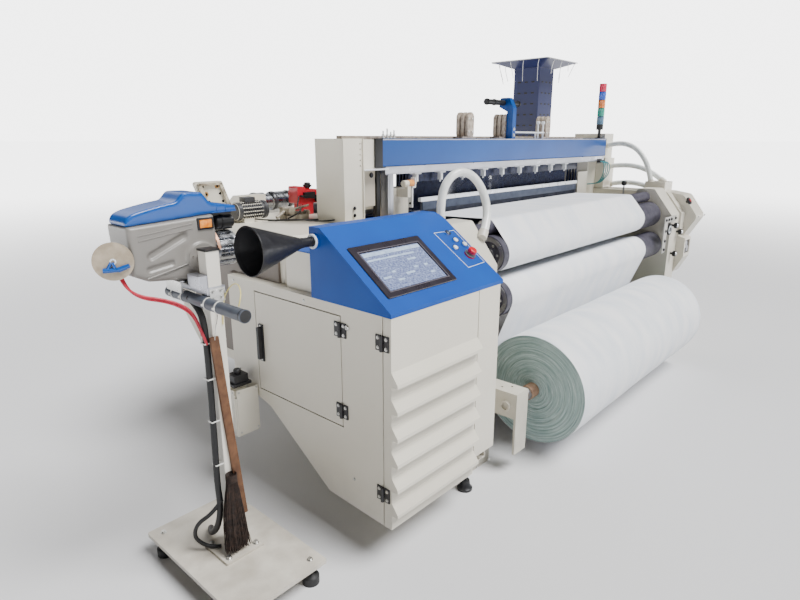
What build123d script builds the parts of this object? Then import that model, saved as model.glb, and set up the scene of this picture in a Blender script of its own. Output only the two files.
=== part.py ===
"""Air jet loom, nominal width 190 cm. Millimetres, +Z up, the cloth comes out at the front, -Y.

The origin is the centre of the four floor bolts, on the floor.
"""
import os
from math import acos, atan2, cos, degrees, hypot, radians, sin, tan

from build123d import *

os.makedirs("parts", exist_ok=True)

# Side frames and floor bolts
BOLT_PITCH_X = 2600
BOLT_PITCH_Y = 1100
BOLT_HOLE_D = 22
LEG_W = 180
FRAME_W = 180
FRAME_WEB = 45
FRAME_TOP_Z = 1090
INNER_X = BOLT_PITCH_X / 2 - FRAME_W / 2
OUTER_X = INNER_X + FRAME_W
LEG_Y = BOLT_PITCH_Y / 2 + LEG_W / 2
FACE_GAP = 0.3
RUN_FIT = 0.05
MOVE_GAP = 5
SHEET = 4

# Rollers: height, depth and radius of each, from the top down
ROLLER_LEFT_X = -1030
ROLLER_RIGHT_X = 1190
JOURNAL_R = 22
JOURNAL_IN = 70
BREAST_Y, BREAST_Z, BREAST_R = -430, 1163, 39
TAKE_UP_Y, TAKE_UP_Z, TAKE_UP_R = -470, 1030, 95
NIP_Y, NIP_Z, NIP_R = -330, 912, 42
PRESS_Y, PRESS_Z, PRESS_R = -500, 800, 97

# Heald frames' half width, between the side frames
HEALD_SIDE_GAP = 200
HEALD_HALF_W = INNER_X - HEALD_SIDE_GAP

# Cloth and cloth roll
CLOTH_MARGIN = 25
CLOTH_W = 1837
CLOTH_LEFT_X = CLOTH_MARGIN - HEALD_HALF_W
CLOTH_RIGHT_X = CLOTH_LEFT_X + CLOTH_W
CLOTH_T = 1.2
FELL_Y, FELL_Z = -15, 1190
CLOTH_ROLL_Y, CLOTH_ROLL_Z, CLOTH_ROLL_R = -742, 350, 290
CORE_R = 38
CORE_OUT = 60
ROLL_JOURNAL_R = 18
ROLL_ARM_X = 1130

# Warp side
BACK_REST_Y, BACK_REST_Z, BACK_REST_R = 930, 1180, 62
WARP_BEAM_Y, WARP_BEAM_Z = 900, 560
WARP_R = 330
FLANGE_R = 400
FLANGE_T = 22
BARREL_R = 80

# Healds and reed
FRAME_COUNT = 4
HEALD_PITCH = 24
HEALD_FIRST_Y = 80
HEALD_TOP_Z = 1420
HEALD_GUIDE_TOP_Z = 1340
HEALD_BOTTOM_Z = 900
HEALD_RAIL_H = 55
HEALD_RAIL_T = 12
SHED_GAP = 14
HEALD_REAR_Y = HEALD_FIRST_Y + (FRAME_COUNT - 1) * HEALD_PITCH + HEALD_RAIL_T
REED_Y = 2
REED_TOP_Z = 1262
REED_BOTTOM_Z = 1150
REED_T = 8
REED_CAP_H = 22

# Top beam and posts
BEAM_LEFT_X = -1300
BEAM_RIGHT_X = 1400
BEAM_Y = 14
BEAM_DEPTH = 73
BEAM_TOP_Z = 1600
BEAM_H = 140
POST_LEFT_X = -1590
POST_W = 136
POST_DEPTH = 200

# Control cabinet, console and doors
CABINET_LEFT_X = -2114
CABINET_RIGHT_X = -1432
CABINET_FRONT_Y = -802
CABINET_BOTTOM_Z = 165
CABINET_TOP_Z = 1005
CABINET_REAR_Y = 215
DOOR_D = 38
SIDE_DOOR_FRONT_Y = -545
SIDE_DOOR_REAR_Y = 15
SIDE_DOOR_BOTTOM_Z = 505
SIDE_DOOR_TOP_Z = 965
HINGE_R = 7
HINGE_OUT = 8
CONSOLE_TOP_Z = 1282
CONSOLE_BACK_Y = -379
CONSOLE_FLAT_D = 60

CONSOLE_RIGHT_X = -1412
CONSOLE_FRONT_Z = 1020

# Air box behind the beam's right end
AIR_BOX_Y = 10

# Drive housing on the left side frame
DRIVE_LEFT_X = -2050
DRIVE_FRONT_Y = -150
DRIVE_REAR_Y = 800
DRIVE_TOP_Z = 1195
DRIVE_BOTTOM_Z = 545

# Weft feeder stand
STAND_X, STAND_Y = -2520, -355
STAND_PLATE_X, STAND_PLATE_Y = 380, 640
STAND_PLATE_T = 15
STAND_PLATE_Z = 82
STAND_POST_W = 50
STAND_POST_TOP_Z = 1245
FEEDER_Y, FEEDER_Z = -210, 1217


def across(x):
    """A plane for a profile in Y and Z, which faces +X."""
    return Plane.YZ.offset(x)


def facing(y):
    """A plane for a profile in X and Z, which faces -Y."""
    return Plane.XZ.offset(-y)


def level(z):
    """A plane for a profile in X and Y, which faces up."""
    return Plane.XY.offset(z)


def rod_x(x_from, x_to, y, z, radius, mode=Mode.ADD):
    """A round bar or bore along X, in the part that is being built."""
    with BuildSketch(across(x_from)) as section:
        with Locations((y, z)):
            Circle(radius)
    extrude(section.sketch, amount=x_to - x_from, mode=mode)


def rod_y(y_from, y_to, x, z, radius, mode=Mode.ADD):
    """A round bar or bore along Y, from the back towards the front."""
    with BuildSketch(facing(y_from)) as section:
        with Locations((x, z)):
            Circle(radius)
    extrude(section.sketch, amount=y_from - y_to, mode=mode)


def rod_z(z_from, z_to, x, y, radius, mode=Mode.ADD):
    """A round bar or bore along Z."""
    with BuildSketch(level(z_from)) as section:
        with Locations((x, y)):
            Circle(radius)
    extrude(section.sketch, amount=z_to - z_from, mode=mode)


def block(x_from, x_to, y_from, y_to, z_from, z_to, radius=0, mode=Mode.ADD):
    """A block between six faces, its upright edges rounded by a radius."""
    with BuildSketch(level(z_from)) as section:
        with Locations(((x_from + x_to) / 2, (y_from + y_to) / 2)):
            if radius:
                RectangleRounded(x_to - x_from, y_to - y_from, radius)
            else:
                Rectangle(x_to - x_from, y_to - y_from)
    extrude(section.sketch, amount=z_to - z_from, mode=mode)


def prism_x(points, x_from, x_to, radius=0, mode=Mode.ADD):
    """A profile in Y and Z, its corners rounded by a radius, drawn out along X."""
    with BuildSketch(across(x_from)) as section:
        with BuildLine():
            Polyline(points, close=True)
        make_face()
        if radius:
            fillet(section.vertices(), radius)
    extrude(section.sketch, amount=x_to - x_from, mode=mode)


# Air hoses, point by point: an arch over the left frame head, and three at the right end
HOSE_D = 40
HOSE_STUB_L = 42
ARCH_ROUTE = [
    (-1335, -395, 1250),
    (-1334, -395, 1335),
    (-1303, -403, 1410),
    (-1240, -418, 1452),
    (-1167, -440, 1440),
    (-1118, -470, 1378),
    (-1112, -502, 1296),
    (-1146, -530, 1222),
    (-1198, -549, 1176),
]
TOP_ROUTE = [
    (1470, AIR_BOX_Y + 8, 1547),
    (1470, AIR_BOX_Y - 62, 1562),
    (1470, AIR_BOX_Y - 150, 1556),
    (1470, AIR_BOX_Y - 234, 1518),
    (1470, AIR_BOX_Y - 300, 1446),
    (1470, AIR_BOX_Y - 346, 1356),
    (1470, AIR_BOX_Y - 369, 1274),
]
MIDDLE_ROUTE = [
    (1522, AIR_BOX_Y - 12, 1374),
    (1522, AIR_BOX_Y - 92, 1383),
    (1522, AIR_BOX_Y - 188, 1382),
    (1522, AIR_BOX_Y - 286, 1362),
    (1522, AIR_BOX_Y - 378, 1318),
    (1522, AIR_BOX_Y - 431, 1281),
]
LOW_ROUTE = [
    (1574, AIR_BOX_Y - 12, 1224),
    (1574, AIR_BOX_Y - 88, 1236),
    (1574, AIR_BOX_Y - 176, 1238),
    (1574, AIR_BOX_Y - 262, 1228),
    (1574, AIR_BOX_Y - 326, 1211),
]


def hose(points, diameter):
    """A tube along straight runs joined by arcs, each as large as its two runs allow."""
    runs = [Vector(*after) - Vector(*before) for before, after in zip(points, points[1:])]
    turns = [run_in.get_angle(run_out) for run_in, run_out in zip(runs, runs[1:])]
    radii = [
        0.45 * min(run_in.length, run_out.length) / tan(radians(turn) / 2)
        for run_in, run_out, turn in zip(runs, runs[1:], turns)
    ]
    with BuildLine() as route:
        FilletPolyline(*points, radius=radii)
    with BuildSketch(Plane(origin=points[0], z_dir=runs[0])) as section:
        Circle(diameter / 2)
    sweep(section.sketch, path=route.wire())
    print("hose", round(route.wire().length), "mm, turns", [round(turn) for turn in turns])
    print("radii", [round(radius) for radius in radii])


def hose_stub(end, beside):
    """A round stub that a hose's end butts on, in line with the hose's last run."""
    outward = Vector(*end) - Vector(*beside)
    with BuildSketch(Plane(origin=end, z_dir=outward)) as section:
        Circle(HOSE_D / 2 + 3)
    extrude(section.sketch, amount=HOSE_STUB_L)


# Side frames: box castings with an open pocket on the outer side of each bay
FRAME_OUTLINE = [
    (-LEG_Y, 0),
    (-LEG_Y + LEG_W, 0),
    (-LEG_Y + LEG_W + 70, 150),
    (LEG_Y - LEG_W - 70, 150),
    (LEG_Y - LEG_W, 0),
    (LEG_Y, 0),
    (LEG_Y, WARP_BEAM_Z - 130),
    (WARP_BEAM_Y + 70, WARP_BEAM_Z - 110),
    (WARP_BEAM_Y + 110, WARP_BEAM_Z + 70),
    (LEG_Y + 30, WARP_BEAM_Z + 170),
    (LEG_Y + 30, 960),
    (BACK_REST_Y + 80, BACK_REST_Z - 90),
    (BACK_REST_Y + 80, BACK_REST_Z + 50),
    (BACK_REST_Y - 70, BACK_REST_Z + 50),
    (LEG_Y - 90, FRAME_TOP_Z),
    (TAKE_UP_Y + 150, FRAME_TOP_Z),
    (BREAST_Y + 70, BREAST_Z + 60),
    (BREAST_Y - 60, BREAST_Z + 60),
    (-LEG_Y, TAKE_UP_Z),
]
# Centre Y, centre Z, length and height of each pocket
POCKETS = [
    (-0.5 * BOLT_PITCH_Y, 150, LEG_W - 50, 200),
    (0.5 * BOLT_PITCH_Y, 150, LEG_W - 50, 200),
    (-0.5 * BOLT_PITCH_Y, 430, LEG_W - 50, 280),
    (0.5 * BOLT_PITCH_Y, 460, LEG_W - 50, 340),
    (-200, 560, 420, 560),
    (225, 560, 350, 560),
]
with BuildPart() as side_casting:
    with BuildSketch(across(-OUTER_X)):
        with BuildLine():
            Polyline(FRAME_OUTLINE, close=True)
        make_face()
    extrude(amount=FRAME_W)
    fillet(side_casting.edges().filter_by(Axis.X).group_by(Axis.Z)[1:], 24)
    for pocket_y, pocket_z, pocket_l, pocket_h in POCKETS:
        with BuildSketch(across(-OUTER_X)):
            with Locations((pocket_y, pocket_z)):
                RectangleRounded(pocket_l, pocket_h, 25)
        extrude(amount=FRAME_W - FRAME_WEB, mode=Mode.SUBTRACT)
    for bolt_y in (-BOLT_PITCH_Y / 2, BOLT_PITCH_Y / 2):
        rod_z(0, 80, -BOLT_PITCH_X / 2, bolt_y, BOLT_HOLE_D / 2, Mode.SUBTRACT)
    for roller_y, roller_z in ((BREAST_Y, BREAST_Z), (TAKE_UP_Y, TAKE_UP_Z), (PRESS_Y, PRESS_Z)):
        bore_x = -INNER_X - JOURNAL_IN - MOVE_GAP
        rod_x(bore_x, -INNER_X, roller_y, roller_z, JOURNAL_R + RUN_FIT, Mode.SUBTRACT)
    block(
        -INNER_X,
        -HEALD_HALF_W - 30 - FACE_GAP,
        HEALD_FIRST_Y - 12,
        HEALD_REAR_Y,
        HEALD_BOTTOM_Z,
        HEALD_GUIDE_TOP_Z,
    )

NOZZLE_Y, NOZZLE_Z, NOZZLE_R = 0, 1368, 17
with BuildPart() as left_side_frame:
    add(side_casting.part)
    hose_stub(ARCH_ROUTE[0], ARCH_ROUTE[1])
    hose_stub(ARCH_ROUTE[-1], ARCH_ROUTE[-2])
    # Nozzle holder on the heald guide's front
    block(-1135, -1105, NOZZLE_Y - 12, HEALD_FIRST_Y - 12, HEALD_GUIDE_TOP_Z - 45, HEALD_GUIDE_TOP_Z)
    block(-1135, -1105, NOZZLE_Y - 12, NOZZLE_Y + 12, HEALD_GUIDE_TOP_Z, NOZZLE_Z)
    rod_x(-1158, -1078, NOZZLE_Y, NOZZLE_Z, NOZZLE_R)
    rod_x(-1078, -1058, NOZZLE_Y, NOZZLE_Z, NOZZLE_R / 2)
left_side_frame.part.label = "left_side_frame"
export_step(left_side_frame.part, "parts/left_side_frame.step")

with BuildPart() as right_side_frame:
    mirror(side_casting.part, about=Plane.YZ)
right_side_frame.part.label = "right_side_frame"
export_step(right_side_frame.part, "parts/right_side_frame.step")

# Cross beams: box sections between the side frames, with a bolted flange at each end
CROSS_BEAMS = [
    (-330, 300, 130, 190),
    (235, 760, 150, 200),
    (390, 300, 120, 190),
]
FLANGE_PLATE = 18
BEAM_WALL = 10
with BuildPart() as cross_beams:
    for beam_y, beam_z, beam_d, beam_h in CROSS_BEAMS:
        with BuildSketch(across(-INNER_X)):
            with Locations((beam_y, beam_z)):
                RectangleRounded(beam_d, beam_h, 15)
                RectangleRounded(beam_d - 2 * BEAM_WALL, beam_h - 2 * BEAM_WALL, 6, mode=Mode.SUBTRACT)
        extrude(amount=2 * INNER_X)
        for flange_x in (-INNER_X, INNER_X - FLANGE_PLATE):
            with BuildSketch(across(flange_x)):
                with Locations((beam_y, beam_z)):
                    RectangleRounded(beam_d + 60, beam_h + 60, 20)
            extrude(amount=FLANGE_PLATE)
cross_beams.part.label = "cross_beams"
export_step(cross_beams.part, "parts/cross_beams.step")

# Rollers: tubes shown as bars, with a journal at each end in the side frames' bores
ROLLERS = {
    "breast_roller": (BREAST_Y, BREAST_Z, BREAST_R),
    "take_up_roller": (TAKE_UP_Y, TAKE_UP_Z, TAKE_UP_R),
    "press_roller": (PRESS_Y, PRESS_Z, PRESS_R),
}
for node, (roller_y, roller_z, roller_r) in ROLLERS.items():
    with BuildPart() as roller:
        rod_x(-INNER_X - JOURNAL_IN, INNER_X + JOURNAL_IN, roller_y, roller_z, JOURNAL_R)
        rod_x(ROLLER_LEFT_X, ROLLER_RIGHT_X, roller_y, roller_z, roller_r)
        chamfer(roller.edges().filter_by(GeomType.CIRCLE).sort_by(SortBy.RADIUS)[-2:], 3)
    roller.part.label = node
    export_step(roller.part, f"parts/{node}.step")


def band_ends(wraps, shift):
    """Straight runs of a band over round bars, as pairs of tangent points.

    A wrap is a bar's Y, Z and signed radius, positive where the band turns counter-clockwise.
    """
    runs = []
    for (y_a, z_a, r_a), (y_b, z_b, r_b) in zip(wraps, wraps[1:]):
        r_a, r_b = r_a - shift, r_b - shift
        turn = atan2(z_b - z_a, y_b - y_a) + acos((r_b - r_a) / hypot(y_b - y_a, z_b - z_a))
        runs.append(
            (
                (y_a - r_a * cos(turn), z_a - r_a * sin(turn)),
                (y_b - r_b * cos(turn), z_b - r_b * sin(turn)),
            )
        )
    return runs


def draw_band_side(wraps, shift):
    """One long side of a band's profile. Gives back its first and last points."""
    runs = band_ends(wraps, shift)
    for start, end in runs:
        Line(start, end)
    for (_, arrive), (leave, _), (y, z, radius) in zip(runs, runs[1:], wraps[1:]):
        first = degrees(atan2(arrive[1] - z, arrive[0] - y))
        last = degrees(atan2(leave[1] - z, leave[0] - y))
        sweep_angle = (last - first) % 360 if radius > 0 else -((first - last) % 360)
        CenterArc((y, z), abs(radius - shift), first, sweep_angle)
    return runs[0][0], runs[-1][1]


def band(wraps, thickness, x_from, x_to):
    """A sheet of cloth or warp that runs over round bars, in the part that is being built."""
    with BuildSketch(across(x_from)) as section:
        with BuildLine():
            left_side = draw_band_side(wraps, thickness / 2)
            right_side = draw_band_side(wraps, -thickness / 2)
            Line(left_side[0], right_side[0])
            Line(left_side[1], right_side[1])
        make_face()
    extrude(section.sketch, amount=x_to - x_from)


# Cloth: from the fell over the breast roller and round the take-up, nip and press rollers
CLOTH_CLEAR = FACE_GAP + CLOTH_T / 2
CLOTH_WRAPS = [
    (FELL_Y, FELL_Z, 0),
    (BREAST_Y, BREAST_Z, BREAST_R + CLOTH_CLEAR),
    (TAKE_UP_Y, TAKE_UP_Z, TAKE_UP_R + CLOTH_CLEAR),
    (NIP_Y, NIP_Z, -NIP_R - CLOTH_CLEAR),
    (PRESS_Y, PRESS_Z, PRESS_R + CLOTH_CLEAR),
    (CLOTH_ROLL_Y, CLOTH_ROLL_Z, -CLOTH_ROLL_R - CLOTH_CLEAR),
]
with BuildPart() as cloth:
    band(CLOTH_WRAPS, CLOTH_T, CLOTH_LEFT_X, CLOTH_RIGHT_X)
cloth.part.label = "cloth"
export_step(cloth.part, "parts/cloth.step")

# Cloth roll: the wound cloth on its core, whose journals turn in the roll arms
with BuildPart() as cloth_roll:
    with BuildSketch(across(CLOTH_LEFT_X)):
        with Locations((CLOTH_ROLL_Y, CLOTH_ROLL_Z)):
            Circle(CLOTH_ROLL_R)
            Circle(CORE_R, mode=Mode.SUBTRACT)
    extrude(amount=CLOTH_RIGHT_X - CLOTH_LEFT_X)
    fillet(cloth_roll.edges().filter_by(GeomType.CIRCLE).sort_by(SortBy.RADIUS)[-2:], 6)
cloth_roll.part.label = "cloth_roll"
export_step(cloth_roll.part, "parts/cloth_roll.step")

with BuildPart() as roll_core:
    rod_x(CLOTH_LEFT_X - CORE_OUT, CLOTH_RIGHT_X + CORE_OUT, CLOTH_ROLL_Y, CLOTH_ROLL_Z, CORE_R)
    chamfer(roll_core.edges().filter_by(GeomType.CIRCLE), 3)
    rod_x(
        -ROLL_ARM_X - JOURNAL_IN + 2 * MOVE_GAP,
        ROLL_ARM_X + JOURNAL_IN - 2 * MOVE_GAP,
        CLOTH_ROLL_Y,
        CLOTH_ROLL_Z,
        ROLL_JOURNAL_R,
    )
roll_core.part.label = "roll_core"
export_step(roll_core.part, "parts/roll_core.step")

# Roll arms: hollow brackets on the side frames' inner faces, with a guard plate in front
ARM_FRONT_Y = CLOTH_ROLL_Y - 58
ARM_OUTER_X = ROLL_ARM_X + 105
ARM_TOP_Z = CLOTH_ROLL_Z + 70
ARM_BOTTOM_Z = CLOTH_ROLL_Z - 60
ARM_GUARD_Z = 100
ARM_WALL = 12
ARM_BACK_Y = -470
with BuildPart() as left_roll_arm:
    with BuildSketch(level(ARM_BOTTOM_Z)):
        with BuildLine():
            Polyline(
                (-ARM_OUTER_X, ARM_FRONT_Y),
                (-ROLL_ARM_X, ARM_FRONT_Y),
                (-ROLL_ARM_X, ARM_BACK_Y),
                (-INNER_X, ARM_BACK_Y),
                (-INNER_X, -LEG_Y),
                (-ARM_OUTER_X, -LEG_Y),
                close=True,
            )
        make_face()
    extrude(amount=ARM_TOP_Z - ARM_BOTTOM_Z)
    block(
        -ARM_OUTER_X + ARM_WALL,
        -ROLL_ARM_X - JOURNAL_IN,
        ARM_FRONT_Y + ARM_WALL,
        -LEG_Y - ARM_WALL,
        ARM_BOTTOM_Z,
        ARM_TOP_Z - ARM_WALL,
        mode=Mode.SUBTRACT,
    )
    block(-ARM_OUTER_X, -ROLL_ARM_X, ARM_FRONT_Y, ARM_FRONT_Y + ARM_WALL, ARM_GUARD_Z, ARM_BOTTOM_Z)
    rod_x(-ARM_OUTER_X - 14, -ARM_OUTER_X + ARM_WALL, CLOTH_ROLL_Y, CLOTH_ROLL_Z, 26)
    rod_x(-ARM_OUTER_X - 14, -ARM_OUTER_X - 4, CLOTH_ROLL_Y, CLOTH_ROLL_Z, 18, Mode.SUBTRACT)
    rod_x(
        -ROLL_ARM_X - JOURNAL_IN + MOVE_GAP,
        -ROLL_ARM_X,
        CLOTH_ROLL_Y,
        CLOTH_ROLL_Z,
        ROLL_JOURNAL_R + RUN_FIT,
        Mode.SUBTRACT,
    )
    for hole_x, hole_y in ((-ARM_OUTER_X + 75, ARM_FRONT_Y + 75), (-ARM_OUTER_X + 40, ARM_FRONT_Y + 110)):
        rod_z(ARM_TOP_Z - ARM_WALL, ARM_TOP_Z, hole_x, hole_y, 7, Mode.SUBTRACT)
left_roll_arm.part.label = "left_roll_arm"
export_step(left_roll_arm.part, "parts/left_roll_arm.step")

with BuildPart() as right_roll_arm:
    mirror(left_roll_arm.part, about=Plane.YZ)
right_roll_arm.part.label = "right_roll_arm"
export_step(right_roll_arm.part, "parts/right_roll_arm.step")

# Warp beam: barrel, wound warp and two flanges, held by its trunnions in the side frames
WHEEL_R = 300
WHEEL_T = 34
WHEEL_TEETH = 48
WHEEL_TOOTH_H = 24
WHEEL_TOOTH_W = 18
with BuildPart() as warp_beam:
    rod_x(-INNER_X, INNER_X, WARP_BEAM_Y, WARP_BEAM_Z, BARREL_R)
    for flange_x in (CLOTH_LEFT_X - FLANGE_T, CLOTH_RIGHT_X):
        rod_x(flange_x, flange_x + FLANGE_T, WARP_BEAM_Y, WARP_BEAM_Z, FLANGE_R)
    fillet(warp_beam.edges().filter_by(GeomType.CIRCLE).group_by(SortBy.RADIUS)[-1], 8)
    # Drive wheel with teeth beside the right flange, and hubs on both
    with BuildSketch(across(CLOTH_RIGHT_X + FLANGE_T)) as wheel_section:
        with Locations((WARP_BEAM_Y, WARP_BEAM_Z)):
            Circle(WHEEL_R)
            with PolarLocations(WHEEL_R, WHEEL_TEETH):
                Rectangle(WHEEL_TOOTH_H, WHEEL_TOOTH_W, align=(Align.CENTER, Align.CENTER))
            with PolarLocations(WHEEL_R * 0.62, 6):
                Circle(48, mode=Mode.SUBTRACT)
    extrude(wheel_section.sketch, amount=WHEEL_T)
    rod_x(CLOTH_LEFT_X - FLANGE_T - 30, CLOTH_LEFT_X - FLANGE_T, WARP_BEAM_Y, WARP_BEAM_Z, BARREL_R + 30)
warp_beam.part.label = "warp_beam"
export_step(warp_beam.part, "parts/warp_beam.step")

with BuildPart() as wound_warp:
    with BuildSketch(across(CLOTH_LEFT_X)):
        with Locations((WARP_BEAM_Y, WARP_BEAM_Z)):
            Circle(WARP_R)
            Circle(BARREL_R, mode=Mode.SUBTRACT)
    extrude(amount=CLOTH_RIGHT_X - CLOTH_LEFT_X)
wound_warp.part.label = "wound_warp"
export_step(wound_warp.part, "parts/wound_warp.step")


# Fixed rollers: the back rest at the warp side, and the nip roller behind the cloth
with BuildPart() as guide_rollers:
    rod_x(-INNER_X, INNER_X, BACK_REST_Y, BACK_REST_Z, BACK_REST_R)
    rod_x(-INNER_X, INNER_X, NIP_Y, NIP_Z, JOURNAL_R)
    rod_x(ROLLER_LEFT_X, ROLLER_RIGHT_X, NIP_Y, NIP_Z, NIP_R)
guide_rollers.part.label = "guide_rollers"
export_step(guide_rollers.part, "parts/guide_rollers.step")

# Warp sheet: from the warp beam over the back rest to the rear heald frame
WARP_END_Y = REED_Y + REED_T + FACE_GAP
with BuildPart() as warp_sheet:
    band(
        [
            (WARP_END_Y, FELL_Z + 2, 0),
            (BACK_REST_Y, BACK_REST_Z, -BACK_REST_R - CLOTH_CLEAR),
            (WARP_BEAM_Y, WARP_BEAM_Z, -WARP_R - CLOTH_CLEAR),
        ],
        CLOTH_T,
        CLOTH_LEFT_X + 15,
        CLOTH_RIGHT_X - 15,
    )
warp_sheet.part.label = "warp_sheet"
export_step(warp_sheet.part, "parts/warp_sheet.step")

# Heald frames: upper and lower rails on stiles, with the healds between them as thin curtains
for node, rail_z, curtain_from, curtain_to in (
    ("upper_heald_frames", HEALD_TOP_Z - HEALD_RAIL_H, FELL_Z + SHED_GAP, HEALD_TOP_Z - HEALD_RAIL_H),
    ("lower_heald_frames", HEALD_BOTTOM_Z, HEALD_BOTTOM_Z + HEALD_RAIL_H, FELL_Z - SHED_GAP),
):
    with BuildPart() as heald_frames:
        for number in range(FRAME_COUNT):
            rail_y = HEALD_FIRST_Y + number * HEALD_PITCH
            block(
                -HEALD_HALF_W - 30,
                HEALD_HALF_W + 30,
                rail_y,
                rail_y + HEALD_RAIL_T,
                rail_z,
                rail_z + HEALD_RAIL_H,
            )
            block(
                CLOTH_LEFT_X,
                CLOTH_RIGHT_X,
                rail_y + HEALD_RAIL_T / 2 - 1,
                rail_y + HEALD_RAIL_T / 2 + 1,
                curtain_from,
                curtain_to,
            )
        for stile_x in (-HEALD_HALF_W - 30, HEALD_HALF_W + 10):
            block(
                stile_x,
                stile_x + 20,
                HEALD_FIRST_Y,
                HEALD_REAR_Y,
                min(FELL_Z, rail_z),
                max(FELL_Z, rail_z),
            )
    heald_frames.part.label = node
    export_step(heald_frames.part, f"parts/{node}.step")

# Reed: a comb plate in a channel, with a pale cap bar on top

with BuildPart() as reed_cap:
    block(
        CLOTH_LEFT_X - 30,
        CLOTH_RIGHT_X + 30,
        REED_Y - 6,
        REED_Y + REED_T + 8,
        REED_TOP_Z,
        REED_TOP_Z + REED_CAP_H,
    )
    fillet(reed_cap.edges().filter_by(Axis.X).group_by(Axis.Z)[-1], 6)
reed_cap.part.label = "reed_cap"
export_step(reed_cap.part, "parts/reed_cap.step")

# Sley: the beam that holds the reed's foot, carried on arms from the rocker shaft
SLEY_BOTTOM_Z = 1070
ROCKER_Y, ROCKER_Z, ROCKER_R = 60, 640, 40
with BuildPart() as sley:
    prism_x(
        [
            (REED_Y - 60, REED_BOTTOM_Z - 45),
            (REED_Y - 14, REED_BOTTOM_Z + 12),
            (REED_Y, REED_BOTTOM_Z + 12),
            (REED_Y, REED_BOTTOM_Z),
            (REED_Y + REED_T, REED_BOTTOM_Z),
            (REED_Y + REED_T, REED_BOTTOM_Z + 12),
            (REED_Y + REED_T + 12, REED_BOTTOM_Z + 12),
            (REED_Y + REED_T + 22, SLEY_BOTTOM_Z),
            (REED_Y - 30, SLEY_BOTTOM_Z),
        ],
        CLOTH_LEFT_X - 20,
        CLOTH_RIGHT_X + 20,
    )
    rod_x(-INNER_X, INNER_X, ROCKER_Y, ROCKER_Z, ROCKER_R)
    for arm_x in (-700, -250, 200, 650):
        prism_x(
            [
                (ROCKER_Y - 60, ROCKER_Z - 30),
                (ROCKER_Y + 50, ROCKER_Z - 50),
                (ROCKER_Y + 60, ROCKER_Z + 40),
                (REED_Y + REED_T + 20, SLEY_BOTTOM_Z),
                (REED_Y - 28, SLEY_BOTTOM_Z),
            ],
            arm_x,
            arm_x + 45,
        )
    block(CLOTH_LEFT_X - 20, CLOTH_RIGHT_X + 20, REED_Y, REED_Y + REED_T, REED_BOTTOM_Z, REED_TOP_Z)
sley.part.label = "sley"
export_step(sley.part, "parts/sley.step")

# Top beam: a blue box section with an end plate, over an extruded rail
with BuildPart() as top_beam:
    with BuildSketch(across(BEAM_LEFT_X)):
        with Locations((BEAM_Y + BEAM_DEPTH / 2, BEAM_TOP_Z - BEAM_H / 2)):
            RectangleRounded(BEAM_DEPTH, BEAM_H, 6)
            RectangleRounded(BEAM_DEPTH - 2 * SHEET, BEAM_H - 2 * SHEET, 2, mode=Mode.SUBTRACT)
    extrude(amount=BEAM_RIGHT_X - BEAM_LEFT_X)
top_beam.part.label = "top_beam"
export_step(top_beam.part, "parts/top_beam.step")

BEAM_CAP_T = 6
with BuildPart() as beam_caps:
    for cap_x in (BEAM_LEFT_X - BEAM_CAP_T, BEAM_RIGHT_X):
        with BuildSketch(across(cap_x)):
            with Locations((BEAM_Y + BEAM_DEPTH / 2, BEAM_TOP_Z - BEAM_H / 2)):
                RectangleRounded(BEAM_DEPTH, BEAM_H, 6)
        extrude(amount=BEAM_CAP_T)
beam_caps.part.label = "beam_caps"
export_step(beam_caps.part, "parts/beam_caps.step")

RAIL_H = 40
RAIL_D = 50
RAIL_SLOT = 14
# T-shaped hangers under the rail
HANGER_FIRST_X = -1014
HANGER_PITCH = 218
HANGER_COUNT = 9
with BuildPart() as beam_rail:
    rail_top = BEAM_TOP_Z - BEAM_H
    prism_x(
        [
            (BEAM_Y, rail_top),
            (BEAM_Y, rail_top - RAIL_H),
            (BEAM_Y + RAIL_D / 2 - RAIL_SLOT / 2, rail_top - RAIL_H),
            (BEAM_Y + RAIL_D / 2 - RAIL_SLOT / 2, rail_top - RAIL_H + RAIL_SLOT),
            (BEAM_Y + RAIL_D / 2 + RAIL_SLOT / 2, rail_top - RAIL_H + RAIL_SLOT),
            (BEAM_Y + RAIL_D / 2 + RAIL_SLOT / 2, rail_top - RAIL_H),
            (BEAM_Y + RAIL_D, rail_top - RAIL_H),
            (BEAM_Y + RAIL_D, rail_top),
        ],
        BEAM_LEFT_X + 20,
        BEAM_RIGHT_X - 20,
    )
    block(
        BEAM_LEFT_X + 40,
        BEAM_LEFT_X + 78,
        BEAM_Y,
        BEAM_Y + RAIL_D,
        FRAME_TOP_Z,
        BEAM_TOP_Z - BEAM_H - RAIL_H,
    )
    for hanger_number in range(HANGER_COUNT):
        hanger_x = HANGER_FIRST_X + hanger_number * HANGER_PITCH
        rail_foot_z = rail_top - RAIL_H
        block(hanger_x - 26, hanger_x + 26, BEAM_Y + 8, BEAM_Y + RAIL_D - 8, rail_foot_z - 9, rail_foot_z)
        stem_top_z = rail_foot_z - 9
        block(hanger_x - 6, hanger_x + 6, BEAM_Y + 15, BEAM_Y + RAIL_D - 15, stem_top_z - 37, stem_top_z)
beam_rail.part.label = "beam_rail"
export_step(beam_rail.part, "parts/beam_rail.step")

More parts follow.
